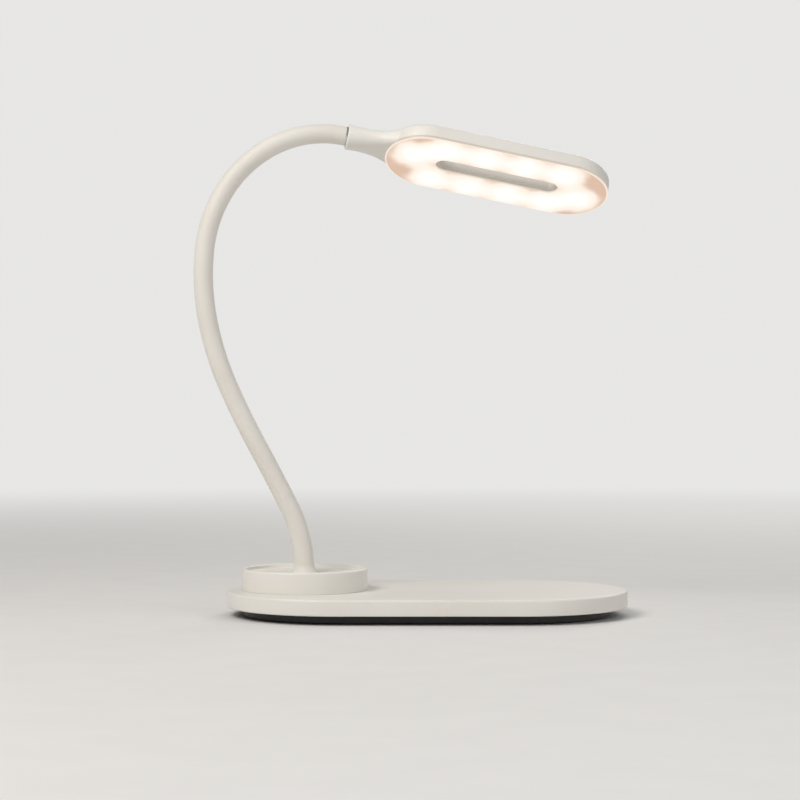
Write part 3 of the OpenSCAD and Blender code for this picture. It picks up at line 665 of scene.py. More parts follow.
@dataclass(frozen=True)
class GlowingDiffuser:
    """A milky sheet lit from behind: bright over each light chip, cream between them, beige far from them.

    Attributes:
        name: Name of the material.
        bright: Light over a chip.
        cream: Light between two chips.
        warm: Light far from every chip.
        side: Light of the sheet's upright side.
        reach: Distance from a chip at which its patch has faded, in metres.
        rim_level: Least light level of the rounded rim.
    """

    name: str
    bright: Color
    cream: Color
    warm: Color
    side: Color
    reach: float
    rim_level: float = 0.3

    def build(self, chips: np.ndarray) -> bpy.types.Material:
        """Makes the material: patches round each chip add up, and their sum picks the colour.

        The sheet's own attributes lift its rounded rim and dim its upright side.

        Args:
            chips: Place of each chip, in the row frame.

        Returns:
            The material.
        """
        sheet = NodeSheet(self.name)
        total = None
        for place in chips:
            away = sheet.add("ShaderNodeVectorMath", operation="DISTANCE")
            sheet.link(sheet.coords, away.inputs[0])
            away.inputs[1].default_value = tuple(place)
            patch = sheet.span(away.outputs["Value"], 0.0, self.reach, 1, 0)
            total = patch if total is None else sheet.math("ADD", total, patch)
        cloud = sheet.span(sheet.noise(90, 2), 0.3, 0.7, -0.06, 0.06)
        level = sheet.math("ADD", total, cloud)
        rim = sheet.add("ShaderNodeAttribute", attribute_name="rim").outputs["Fac"]
        level = sheet.math("MAXIMUM", level, sheet.math("MULTIPLY", rim, self.rim_level))
        patch = sheet.blend(sheet.span(level, 0.0, 0.42, 0, 1), self.warm, self.cream)
        glow = sheet.blend(sheet.span(level, 0.35, 0.9, 0, 1), patch, self.bright)
        side = sheet.add("ShaderNodeAttribute", attribute_name="side").outputs["Fac"]
        sheet.link(sheet.blend(side, glow, self.side), sheet.shader.inputs["Emission Color"])
        sheet.set(Emission_Strength=1.0, Base_Color=(0.16, 0.14, 0.12, 1), Roughness=0.38)
        sheet.bump((sheet.noise(2400, 1), 0.4e-5))
        return sheet.material


class Finishes:
    """Every finish of the lamp, by the record's slot names."""

    def __init__(self) -> None:
        """Builds the materials that need nothing but their own values."""
        cream, cream_shade = (0.83, 0.805, 0.755), (0.795, 0.765, 0.71)
        coil_low, coil_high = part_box("charging_coil")
        middle = tuple((coil_low + coil_high) / 2)
        looks = {
            "body": MouldedPlastic("body_plastic", cream, cream_shade, 0.42),
            "sleeve": SiliconeSkin("sleeve_silicone", (0.8, 0.77, 0.715), (0.76, 0.725, 0.665)),
            "pad": MouldedRubber("pad_rubber", (0.03, 0.03, 0.03), (0.06, 0.058, 0.055), 2.4 * MM),
            "core_steel": BareMetal("core_steel", (0.4, 0.41, 0.43), (0.26, 0.25, 0.24), 0.36, 1500),
            "ballast_steel": BareMetal("ballast_steel", (0.36, 0.37, 0.38), (0.25, 0.22, 0.19), 0.45, 900),
            "bright_steel": BareMetal("bright_steel", (0.68, 0.69, 0.7), (0.56, 0.56, 0.55), 0.27),
            "board": PrintedBoard("board_lacquer", (0.012, 0.1, 0.045), (0.03, 0.17, 0.07)),
            "light_board": PrintedBoard("light_board_lacquer", (0.87, 0.87, 0.84), (0.8, 0.8, 0.77)),
            "light_chip": MouldedPlastic("chip_phosphor", (0.92, 0.72, 0.2), (0.86, 0.62, 0.14), 0.3),
            # Partly painted shade: black moulded parts take this finish, and so does the bottom cover under the
            # plate. There its black stands partly for the shade under the plate.
            "black_part": MouldedPlastic("black_plastic_and_painted_shade", (0.02, 0.02, 0.022), (0.035, 0.034, 0.033), 0.4),
            "socket": MouldedPlastic("socket_nylon", (0.82, 0.8, 0.73), (0.75, 0.72, 0.64), 0.35),
            "copper": WoundMetal("coil_copper", (0.78, 0.38, 0.2), (0.2, 0.08, 0.04), 1250, middle),
            "ferrite": MouldedRubber("ferrite_sheet", (0.05, 0.047, 0.045), (0.085, 0.08, 0.075)),
            "lead": MouldedRubber("lead_insulation", (0.018, 0.018, 0.02), (0.04, 0.04, 0.04)),
        }
        self.by_slot: dict[str, bpy.types.Material] = {slot: look.build() for slot, look in looks.items()}

    def dress_cad(self) -> None:
        """Gives every CAD node the finish of its slot in the record."""
        for row in frame["record"]["subparts"]:
            mesh = frame["nodes"][row["node"]].data
            mesh.materials.clear()
            mesh.materials.append(self.by_slot[row["material_slot"]])


# ---- The lamp ----


@dataclass
class BasePlate:
    """The plate's upper shell, its pad and the contacts in its inlet.

    Attributes:
        wall: Wall of the shell.
        top_round: Rounding of the top edge.
        low_round: Rounding of the lower edge.
        window_gap: Room round the inlet in its window.
        pad_round: Rounding of the pad's lower edge.
        contacts: Number of contact strips on each face of the inlet's tongue.
        contact_size: Width, length and thickness of a strip.
        contact_sunk: How deep a strip lies in the tongue.
        contact_inset: Room from the tongue's sides to the outer strips' middles.
        contact_back: Room from the tongue's mouth to the strips.
    """

    wall: float = 2 * MM
    top_round: float = 1.4 * MM
    low_round: float = 0.8 * MM
    window_gap: float = 0.3 * MM
    pad_round: float = 0.35 * MM
    contacts: int = 12
    contact_size: tuple[float, float, float] = (0.25 * MM, 3.6 * MM, 0.05 * MM)
    contact_sunk: float = 0.02 * MM
    contact_inset: float = 0.6 * MM
    contact_back: float = 0.5 * MM

    def build(self, finishes: Finishes) -> None:
        """Builds the shell, the pad and the inlet's contacts.

        Args:
            finishes: Where the materials come from.
        """
        self.build_shell(finishes)
        self.build_pad(finishes)
        self.build_contacts(finishes)

    def build_shell(self, finishes: Finishes) -> None:
        """Carries the wall's outline round the plate: ceiling, inside, lower edge, side, top edge, top.

        Args:
            finishes: Where the materials come from.
        """
        low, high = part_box("base_deck")
        r = high.y
        path = Pill(high.x - r, run_steps=24)
        ceiling, inner = high.z - self.wall, r - self.wall
        profile = [
            (0, ceiling),
            (inner, ceiling),
            (inner, low.z),
            *arc(r - self.low_round, low.z + self.low_round, self.low_round, -90, 0, 6),
            *arc(r - self.top_round, high.z - self.top_round, self.top_round, 0, 90, 10),
            *[(r * share, high.z) for share in np.linspace(0.95, 0, 14)],
        ]
        grid = path.sweep(profile)
        quads = grid_quads(*grid.shape[:2], Around.ROWS)
        shell = mesh_piece("plate_shell", grid, quads, finishes.by_slot["body"])
        cut_away(shell, self.window_cutter(finishes))
        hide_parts("base_deck")
        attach(shell, "base")

    def window_cutter(self, finishes: Finishes) -> bpy.types.Object:
        """A rounded bar through the back wall, a little larger than the inlet.

        Args:
            finishes: Where the materials come from.

        Returns:
            The bar's object.
        """
        low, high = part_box("inlet_shell")
        r = (high.z - low.z) / 2 + self.window_gap
        path = Pill((high.x - low.x) / 2 + self.window_gap - r, 24, 2)
        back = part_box("base_deck")[1].y
        profile = [(0, 0), (r, 0), (r, 2 * self.wall), (0, 2 * self.wall)]
        grid = path.sweep(profile)
        middle = (low + high) / 2
        place = Place(np.array([middle.x, back + self.wall / 2, middle.z]),
                      np.array([[1, 0, 0], [0, 0, 1], [0, -1, 0]]))
        return mesh_piece("window_cutter", place.carry(grid), grid_quads(*grid.shape[:2], Around.ROWS),
                          finishes.by_slot["body"])

    def build_pad(self, finishes: Finishes) -> None:
        """Carries the pad's outline round the plate, with a soft lower edge.

        Args:
            finishes: Where the materials come from.
        """
        low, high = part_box("non_slip_pad")
        r = high.y
        path = Pill(high.x - r)
        profile = [
            (0, high.z),
            (r, high.z),
            *reversed(arc(r - self.pad_round, low.z + self.pad_round, self.pad_round, -90, 0, 6)),
            *[(r * share, low.z) for share in np.linspace(0.9, 0, 6)],
        ]
        grid = path.sweep(profile)
        pad = mesh_piece("pad", grid, grid_quads(*grid.shape[:2], Around.ROWS), finishes.by_slot["pad"])
        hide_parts("non_slip_pad")
        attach(pad, "base")

    def build_contacts(self, finishes: Finishes) -> None:
        """Lays thin contact strips on both faces of the inlet's tongue, side by side.

        Args:
            finishes: Where the materials come from.
        """
        low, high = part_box("inlet_tongue")
        _, length, thick = self.contact_size
        across = np.linspace(low.x + self.contact_inset, high.x - self.contact_inset, self.contacts)
        depth = np.full(self.contacts, high.y - self.contact_back - length / 2)
        corner = np.array([[x, y, z] for x in (-1, 1) for y in (-1, 1) for z in (-1, 1)]) / 2
        strips = []
        for face, side in ((high.z, 1), (low.z, -1)):
            level = np.full(self.contacts, face + side * (thick / 2 - self.contact_sunk))
            middle = np.stack([across, depth, level], axis=1)
            strips.append(middle[:, None, :] + corner * self.contact_size)
        box = np.concatenate(strips).reshape(-1, 8, 3)
        faces = np.array([[0, 1, 3, 2], [4, 6, 7, 5], [0, 4, 5, 1], [2, 3, 7, 6], [0, 2, 6, 4], [1, 5, 7, 3]])
        quads = (np.arange(len(box))[:, None, None] * 8 + faces).reshape(-1, 4)
        strip = mesh_piece("inlet_contacts", box, quads, finishes.by_slot["copper"])
        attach(strip, "base")


@dataclass
class CoverScrews:
    """Pan-head screws in the bottom cover, each with a cross recess.

    Attributes:
        recess_r: Reach of the cross from the screw's axis.
        recess_w: Half width of each arm of the cross.
        recess_depth: Depth of the cross.
        side_slope: Width of the slope at the sides of each arm.
        end_slope: Width of the slope at the end of each arm.
        dome: How far the head's middle stands above its edge.
        head_t: Thickness of the head.
        shank_r: Radius of the shank.
        apart: Two points nearer than this belong to one screw.
    """

    recess_r: float = 1.5 * MM
    recess_w: float = 0.32 * MM
    recess_depth: float = 0.9 * MM
    side_slope: float = 0.12 * MM
    end_slope: float = 0.2 * MM
    dome: float = 0.3 * MM
    head_t: float = 1.3 * MM
    shank_r: float = 1.3 * MM
    apart: float = 8 * MM

    def build(self, finishes: Finishes) -> None:
        """Height of the head over its disc: a dome that falls to the edge, less the cross.

        Each arm of the cross gets narrower and shallower away from the middle.

        Args:
            finishes: Where the materials come from.
        """
        low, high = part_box("cover_screws")
        places = group_middles(node_points("cover_screws")[:, :2], self.apart)
        head_r = (high.y - low.y - (places[:, 1].max() - places[:, 1].min())) / 2
        turn = np.linspace(0, 2 * np.pi, 96, endpoint=False)
        r, t = np.meshgrid(np.linspace(0, 1, 41) * head_r, turn, indexing="xy")
        x, y = r * np.cos(t), r * np.sin(t)
        arm = np.minimum(np.abs(x), np.abs(y))
        inside = np.clip((self.recess_w * (1.25 - r / self.recess_r / 2) - arm) / self.side_slope, 0, 1)
        inside *= np.clip((self.recess_r - r) / self.end_slope, 0, 1)
        fall = self.dome * (r / head_r) ** 2
        z = low.z + fall + self.recess_depth * inside * (1 - 0.4 * r / self.recess_r)
        top = np.stack([x, y, z], axis=2)
        under = low.z + self.head_t
        rim = np.array([(head_r, under), (self.shank_r, under), (self.shank_r, high.z), (0, high.z)])
        side = np.stack([np.outer(np.cos(turn), rim[:, 0]), np.outer(np.sin(turn), rim[:, 0]),
                         np.broadcast_to(rim[:, 1], (len(turn), len(rim)))], axis=2)
        one = np.concatenate([top, side], axis=1)
        quads = grid_quads(*one.shape[:2], Around.ROWS)
        shifts = np.concatenate([places, np.zeros((len(places), 1))], axis=1)
        every = one.reshape(1, -1, 3) + shifts[:, None, :]
        all_quads = np.concatenate([quads + i * one.shape[0] * one.shape[1] for i in range(len(places))])
        screws = mesh_piece("cover_screw_heads", every, all_quads, finishes.by_slot["bright_steel"], 40)
        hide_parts("cover_screws")
        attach(screws, "base")


@dataclass
class Collar:
    """The round collar: an upright wall with a full-round rim, and a shallow dish inside it.

    Attributes:
        rim: Width of the rim.
        dish_depth: Depth of the dish below the rim.
        dish_floor: Thickness of the dish's floor.
        hole_r: Radius of the hole for the arm's foot.
        boss_r: Radius of the boss under the dish.
        foot_round: Rounding where the collar meets the plate.
    """

    rim: float = 2.5 * MM
    dish_depth: float = 3 * MM
    dish_floor: float = 2.2 * MM
    hole_r: float = 6.2 * MM
    boss_r: float = 11 * MM
    foot_round: float = 0.35 * MM

    def build(self, finishes: Finishes) -> None:
        """Turns the collar's outline about its axis: floor, fillet, rim, wall, foot, inside, boss.

        Args:
            finishes: Where the materials come from.
        """
        low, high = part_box("collar")
        middle = (low + high) / 2
        r, bead = (high.x - low.x) / 2, self.rim / 2
        floor = high.z - self.dish_depth
        fillet = self.dish_depth - bead
        inner = r - self.rim
        under = floor - self.dish_floor
        profile = [
            *[(d, floor) for d in np.linspace(self.hole_r, inner - fillet, 10)[:-1]],
            *arc(inner - fillet, floor + fillet, fillet, -90, 0, 8),
            *reversed(arc(inner + bead, high.z - bead, bead, 0, 180, 20)),
            *reversed(arc(r - self.foot_round, low.z + self.foot_round, self.foot_round, -90, 0, 4)),
            (inner, low.z),
            (inner, under),
            (self.boss_r, under),
            (self.boss_r, low.z),
            (self.hole_r, low.z),
        ]
        grid = Pill(0, 96, 1).sweep(profile)
        place = Place(np.array([middle.x, middle.y, 0]), np.eye(3))
        collar = mesh_piece("collar_ring", place.carry(grid), grid_quads(*grid.shape[:2], Around.BOTH),
                            finishes.by_slot["body"])
        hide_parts("collar")
        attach(collar, "base")


@dataclass
class ArmCurve:
    """The arm's middle line: one arc for each link, found from the joints of the frame.

    Attributes:
        knots: Start of each link and the end of the last.
        ahead: Direction of the arm at each knot.
        side: The line that the arm bends about.
    """

    knots: np.ndarray
    ahead: np.ndarray
    side: np.ndarray

    @classmethod
    def from_frame(cls) -> "ArmCurve":
        """Each link leaves its start along the arm and turns by twice the angle to its chord.

        Returns:
            The curve.
        """
        joints = frame["joints"]
        low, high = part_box("collar")
        start = np.array([(low.x + high.x) / 2, 0, high.z - Collar.dish_depth])
        knots = np.array([start, *[np.array(j["pos_m"]) for j in joints]])
        side = np.array(joints[0]["axis"], float)
        ahead = [np.array([0.0, 0.0, 1.0])]
        for chord in np.diff(knots, axis=0):
            chord = chord / np.linalg.norm(chord)
            ahead.append(2 * chord * (chord @ ahead[-1]) - ahead[-1])
        return cls(knots, np.array(ahead), side / np.linalg.norm(side))

    def link(self, k: int, share: np.ndarray) -> tuple[np.ndarray, np.ndarray, np.ndarray]:
        """Points of link k at shares of its length: the arc through both knots.

        Args:
            k: Number of the link, from 0.
            share: Shares of the link's length, from 0 to 1.

        Returns:
            The points, the directions ahead and the lengths from the link's start.
        """
        chord = self.knots[k + 1] - self.knots[k]
        inward = np.cross(self.side, self.ahead[k])
        half = math.atan2(chord @ inward, chord @ self.ahead[k])
        radius = np.linalg.norm(chord) / (2 * math.sin(half))
        turn = (2 * half * share)[:, None]
        points = self.knots[k] + radius * ((1 - np.cos(turn)) * inward + np.sin(turn) * self.ahead[k])
        return points, np.cos(turn) * self.ahead[k] + np.sin(turn) * inward, radius * turn[:, 0]


@dataclass
class ArmSkin:
    """The soft sleeve: one round skin with a cuff at its foot, in seven stretches, each over one joint.

    Attributes:
        outer_r: Outer radius.
        inner_r: Inner radius.
        bend_reach: Not used; meant as how far to each side of a joint the skin bends.
        lift: Height of the cuff's lower edge above the dish.
        cuff_r: Radius of the cuff at the dish.
        cuff_top_r: Radius that the cuff's curve would reach at its top, inside the sleeve.
        cuff_height: Height of the cuff.
        pocket_r: Radius of the room for the steel flange inside the cuff.
        pocket_height: Height of that room above the dish.
        around_steps: Points round the skin.
        along_steps: Points along half a link.
    """

    outer_r: float = 5.75 * MM
    inner_r: float = 4.3 * MM
    bend_reach: float = 14 * MM
    lift: float = 0.02 * MM
    cuff_r: float = 7.6 * MM
    cuff_top_r: float = 5.6 * MM
    cuff_height: float = 6.5 * MM
    pocket_r: float = 6.8 * MM
    pocket_height: float = 1.3 * MM
    around_steps: int = 56
    along_steps: int = 22

    def build(self, finishes: Finishes, curve: ArmCurve) -> None:
        """Builds the stretches, each from the middle of one link to the middle of the next.

        Args:
            finishes: Where the materials come from.
            curve: The arm's middle line.
        """
        last = len(curve.knots) - 2
        length = 0.0
        for k in range(last):
            end = 1.0 if k == last - 1 else 0.5
            link_length = curve.link(k, np.array([1.0]))[2][0]
            from_middle = np.linspace(0.5, 1, self.along_steps, endpoint=False)
            one = curve.link(k, self.foot_shares(link_length) if k == 0 else from_middle)
            two = curve.link(k + 1, np.linspace(0, end, self.along_steps + 1))
            points, ahead = np.concatenate([one[0], two[0]]), np.concatenate([one[1], two[1]])
            along = np.concatenate([one[2], two[2] + link_length]) + length
            length += link_length
            piece = self.stretch(f"arm_skin_{k + 1}", points, ahead, along, curve.side, finishes)
            covered = (k + 1, k + 2) if k == last - 1 else (k + 1,)
            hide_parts(*[f"sleeve_{n}" for n in covered])
            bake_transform(piece)

    def foot_shares(self, link_length: float) -> np.ndarray:
        """Shares of the first link at which the skin has points, close together in the cuff.

        Args:
            link_length: Length of the link.

        Returns:
            The shares, from the cuff's lower edge to just before the link's end.
        """
        low = np.linspace(self.lift, self.pocket_height, 6)
        cuff = np.linspace(self.pocket_height, self.cuff_height, 14)[1:]
        rest = np.linspace(self.cuff_height, link_length, self.along_steps, endpoint=False)[1:]
        return np.concatenate([low, cuff, rest]) / link_length

    def outer_wall(self, along: np.ndarray) -> np.ndarray:
        """Outer radius along the arm: the sleeve's, or the cuff's where that is larger.

        The cuff's radius is its top radius plus the rest times the square of what is left of its height.

        Args:
            along: Lengths from the arm's foot.

        Returns:
            The radius at each length.
        """
        left = np.clip(1 - along / self.cuff_height, 0, 1)
        return np.maximum(self.outer_r, self.cuff_top_r + (self.cuff_r - self.cuff_top_r) * left**2)

    def stretch(self, name: str, points: np.ndarray, ahead: np.ndarray, along: np.ndarray, side: np.ndarray,
                finishes: Finishes) -> bpy.types.Object:
        """A closed tube: point + r * (cos * side + sin * across), outer wall, then inner wall back.

        The stretch at the foot widens inside to the room for the steel flange.

        Args:
            name: Name of the piece.
            points: Middle line.
            ahead: Direction at each point.
            along: Length from the arm's foot at each point, for the pattern.
            side: The line that the arm bends about.
            finishes: Where the materials come from.

        Returns:
            The piece.
        """
        across = np.cross(ahead, side)
        turn = np.linspace(0, 2 * np.pi, self.around_steps, endpoint=False)
        ring = np.cos(turn)[None, :, None] * side + np.sin(turn)[None, :, None] * across[:, None, :]
        back = np.flatnonzero(along >= self.pocket_height - 1e-9)[::-1]
        back_r = np.full(len(back), self.inner_r)
        if len(back) < len(along):
            back, back_r = np.append(back, [back[-1], 0]), np.append(back_r, [self.pocket_r, self.pocket_r])
        outer = points[:, None, :] + self.outer_wall(along)[:, None, None] * ring
        inner = points[back][:, None, :] + back_r[:, None, None] * ring[back]
        grid = np.concatenate([outer, inner])
        skin = np.zeros((*grid.shape[:2], 3))
        skin[..., 0] = np.concatenate([along, along[back]])[:, None]
        skin[..., 1] = self.outer_r * np.sin(turn)
        skin[..., 2] = self.outer_r * np.cos(turn)
        quads = grid_quads(*grid.shape[:2], Around.BOTH)
        piece = mesh_piece(name, grid, quads, finishes.by_slot["sleeve"], 60)
        attribute = piece.data.attributes.new("skin", "FLOAT_VECTOR", "POINT")
        attribute.data.foreach_set("vector", skin.reshape(-1).astype(np.float32))
        return piece


@dataclass
class Head:
    """The neck and the ring head, in a frame that starts at the end of the arm.

    Attributes:
        roll: Roll of the head about the arm's end, in degrees.
        drop: How far the ring lies below the arm's axis.
        length: Length of the ring.
        width: Width of the ring.
        thick: Thickness of the ring.
        slot_length: Length of the slot.
        slot_width: Width of the slot.
        neck_length: Distance from the arm's end to the ring.
        wall: Wall of the back shell.
        back_round: Rounding of the back edge.
        sheet: Thickness of the diffuser.
        sheet_round: Rounding of the diffuser's rim.
        seam: Gap between the diffuser and the shell.
        slot_round: Rounding of the shell's edge at the slot.
        lip_round: Rounding of the shell's edge at the seam.
        mouth: Distance from the arm's end to the neck's mouth.
        mouth_r: Radius of the neck at its mouth.
        mouth_round: Rounding of the mouth's edge.
        bore_r: Radius of the neck's bore.
        bore_depth: Depth of the bore that is seen.
        end_w: Half width of the neck at the ring.
        end_h: Half height of the neck at the ring.
        end_sunk: How deep the neck's end lies in the ring.
        chip_apart: Two points nearer than this belong to one light chip.
    """

    roll: float = -25.0
    drop: float = 1 * MM
    length: float = 138 * MM
    width: float = 54 * MM
    thick: float = 11 * MM
    slot_length: float = 76 * MM
    slot_width: float = 12.5 * MM
    neck_length: float = 25.7 * MM
    wall: float = 1.8 * MM
    back_round: float = 3 * MM
    sheet: float = 1.8 * MM
    sheet_round: float = 0.8 * MM
    seam: float = 0.12 * MM
    slot_round: float = 0.5 * MM
    lip_round: float = 0.25 * MM
    mouth: float = 1.1 * MM
    mouth_r: float = 7.8 * MM
    mouth_round: float = 1 * MM
    bore_r: float = 4.6 * MM
    bore_depth: float = 12 * MM
    end_w: float = 19 * MM
    end_h: float = 5.1 * MM
    end_sunk: float = 0.9 * MM
    chip_apart: float = 6 * MM

    def place(self, curve: ArmCurve) -> Place:
        """The frame at the arm's end: x ahead, y across, z to the back, rolled about x.

        Args:
            curve: The arm's middle line.

        Returns:
            The frame.
        """
        x = curve.ahead[-1]
        flat_z = np.cross(x, curve.side)
        c, s = math.cos(math.radians(self.roll)), math.sin(math.radians(self.roll))
        axes = np.array([x, c * curve.side + s * flat_z, c * flat_z - s * curve.side])
        return Place(curve.knots[-1], axes)

    def ring_place(self, curve: ArmCurve) -> Place:
        """The frame in the middle of the ring."""
        return self.place(curve).shifted((self.neck_length + self.length / 2, 0, -self.drop))

    def loop(self, outline: Outline) -> np.ndarray:
        """Carries a closed outline round the ring, between its outer edge and its slot.

        Args:
            outline: Points as (rim, distance from it into the ring, height).

        Returns:
            Vertices as an array of path point, outline point and (x, y, z).
        """
        edge_r, slot_r = self.width / 2, self.slot_width / 2
        edge = Pill(self.length / 2 - edge_r, 56, 30)
        slot = Pill(self.slot_length / 2 - slot_r, 56, 30)
        rows = []
        for where, inset, z in outline:
            path, r = (edge, edge_r - inset) if where is Rim.EDGE else (slot, slot_r + inset)
            rows.append(path.sweep([(r, z)]))
        return np.concatenate(rows, axis=1)

    @staticmethod
    def rounding(rim: Rim, r: float, level: float, start: float, end: float, steps: int) -> Outline:
        """A rounded edge of the ring's outline: an arc whose outermost point touches the rim.

        Args:
            rim: The rim that the edge lies on.
            r: Radius of the rounding.
            level: Height of its centre.
            start: First angle in degrees, 0 outwards and 90 up.
            end: Last angle in degrees.
            steps: Number of stretches.

        Returns:
            The points as (rim, distance from it into the ring, height).
        """
        return [(rim, r - out, z) for out, z in arc(0, level, r, start, end, steps)]

    def build(self, finishes: Finishes, curve: ArmCurve) -> None:
        """Builds the shell, the diffuser and the neck.

        Args:
            finishes: Where the materials come from.
            curve: The arm's middle line.
        """
        self.build_shell(finishes, curve)
        self.build_diffuser(finishes, curve)
        self.build_neck(finishes, curve)

    def build_shell(self, finishes: Finishes, curve: ArmCurve) -> None:
        """The back shell: outer side, back edge, back, slot edge, slot wall, and the inside back again.

        Args:
            finishes: Where the materials come from.
            curve: The arm's middle line.
        """
        back, low = self.thick / 2, -self.thick / 2 + self.sheet + self.seam
        ceiling = back - self.wall
        outline = [
            (Rim.EDGE, self.wall, low),
            *self.rounding(Rim.EDGE, self.lip_round, low + self.lip_round, -90, 0, 4),
            *self.rounding(Rim.EDGE, self.back_round, back - self.back_round, 0, 90, 12),
            *reversed(self.rounding(Rim.SLOT, self.slot_round, back - self.slot_round, 0, 90, 5)),
            (Rim.SLOT, 0, low),
            (Rim.SLOT, self.wall, low),
            (Rim.SLOT, self.wall, ceiling),
            (Rim.EDGE, self.wall, ceiling),
        ]
        grid = self.ring_place(curve).carry(self.loop(outline))
        quads = grid_quads(*grid.shape[:2], Around.BOTH)
        shell = mesh_piece("ring_shell", grid, quads, finishes.by_slot["body"])
        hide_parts("head_shell")
        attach(shell, "head")

    def build_diffuser(self, finishes: Finishes, curve: ArmCurve) -> None:
        """The milky sheet: upright side, rounded rim, flat face and crisp slot edge.

        Two attributes mark the rim and the side: each falls from 1 to 0 along the sheet's outline.

        Args:
            finishes: Where the materials come from.
            curve: The arm's middle line.
        """
        face, top, crisp = -self.thick / 2, -self.thick / 2 + self.sheet, 0.3 * MM
        rim_full, rim_gone, side_starts = 0.7 * MM, 1.4 * MM, 0.35
        outline = [
            (Rim.EDGE, 0, top),
            *reversed(self.rounding(Rim.EDGE, self.sheet_round, face + self.sheet_round, -90, 0, 8)),
            *[(Rim.EDGE, inset, face) for inset in np.linspace(0.95, 1.6, 4) * MM],
            *self.rounding(Rim.SLOT, crisp, face + crisp, -90, 0, 4),
            (Rim.SLOT, 0, top),
        ]
        grid = self.ring_place(curve).carry(self.loop(outline))
        glow = GlowingDiffuser("lit_diffuser", (0.94, 0.915, 0.885), (0.88, 0.79, 0.7), (0.6, 0.405, 0.295),
                               (0.5, 0.43, 0.36), 19.5 * MM)
        material = glow.build(self.chip_places(curve))
        finishes.by_slot["diffuser"] = material
        sheet = mesh_piece("diffuser_sheet", grid, grid_quads(*grid.shape[:2], Around.BOTH), material)
        inset = np.array([d if where is Rim.EDGE else rim_gone for where, d, _ in outline])
        high = np.array([z for _, _, z in outline]) - face
        marks = {
            "rim": np.clip((rim_gone - inset) / (rim_gone - rim_full), 0, 1),
            "side": np.clip((high / self.sheet_round - side_starts) / (1 - side_starts), 0, 1),
        }
        for name, values in marks.items():
            attribute = sheet.data.attributes.new(name, "FLOAT", "POINT")
            attribute.data.foreach_set("value", np.tile(values, grid.shape[0]).astype(np.float32))
        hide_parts("head_diffuser")
        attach(sheet, "head")

    def chip_places(self, curve: ArmCurve) -> np.ndarray:
        """Middle of each light chip, put on the diffuser's face.

        Args:
            curve: The arm's middle line.

        Returns:
            One (x, y, z) row for each chip.
        """
        place = self.ring_place(curve)
        local = (node_points("light_chips") - place.origin) @ place.axes.T
        middles = group_middles(local, self.chip_apart)
        middles[:, 2] = -self.thick / 2
        return place.carry(middles)

    def build_neck(self, finishes: Finishes, curve: ArmCurve) -> None:
        """A loft from the round mouth to the ring's end.

        Each section is a rounded oval. Its half width grows along the neck with a flare, its half height
        shrinks to the ring's, its corners fill out, and the last sections follow the ring's round end.

        Args:
            finishes: Where the materials come from.
            curve: The arm's middle line.
        """
        turn = np.linspace(0, 2 * np.pi, 96, endpoint=False)
        share = np.linspace(0, 1, 57)[:, None]
        ring_r = self.width / 2
        flare = 0.2 * share + 0.8 * share**3.2
        half_w = self.mouth_r + (self.end_w - self.mouth_r) * flare
        half_h = self.mouth_r + (self.end_h - self.mouth_r) * (1 - (1 - share) ** 1.8)
        power = 2 / (2 + 1.3 * share**2)
        y = half_w * np.sign(np.cos(turn)) * np.abs(np.cos(turn)) ** power
        z = half_h * np.sign(np.sin(turn)) * np.abs(np.sin(turn)) ** power - self.drop * share
        reach = self.neck_length + ring_r + self.end_sunk - np.sqrt(ring_r**2 - y[-1] ** 2)
        start = self.mouth + self.mouth_round
        x = start + (reach - start) * share
        loft = np.stack([x, y, z], axis=2)
        edge = arc(self.mouth_r - self.mouth_round, 0, self.mouth_round, 90, 0, 6)
        ring = np.array([
            (self.bore_depth, 0),
            (self.bore_depth, self.bore_r),
            (self.mouth, self.bore_r),
            *[(start - ahead, r) for r, ahead in edge[:-1]],
        ])
        lead_in = np.stack([np.broadcast_to(ring[:, :1], (len(ring), len(turn))),
                            np.outer(ring[:, 1], np.cos(turn)), np.outer(ring[:, 1], np.sin(turn))], axis=2)
        cap = np.broadcast_to(loft[-1].mean(0), (1, len(turn), 3))
        grid = np.concatenate([lead_in, loft, cap])
        grid = self.place(curve).carry(grid).transpose(1, 0, 2)
        quads = grid_quads(*grid.shape[:2], Around.ROWS)
        neck = mesh_piece("neck_loft", grid, quads, finishes.by_slot["body"], 40)
        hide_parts("neck")
        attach(neck, "head")


# ---- Camera, floor and light ----


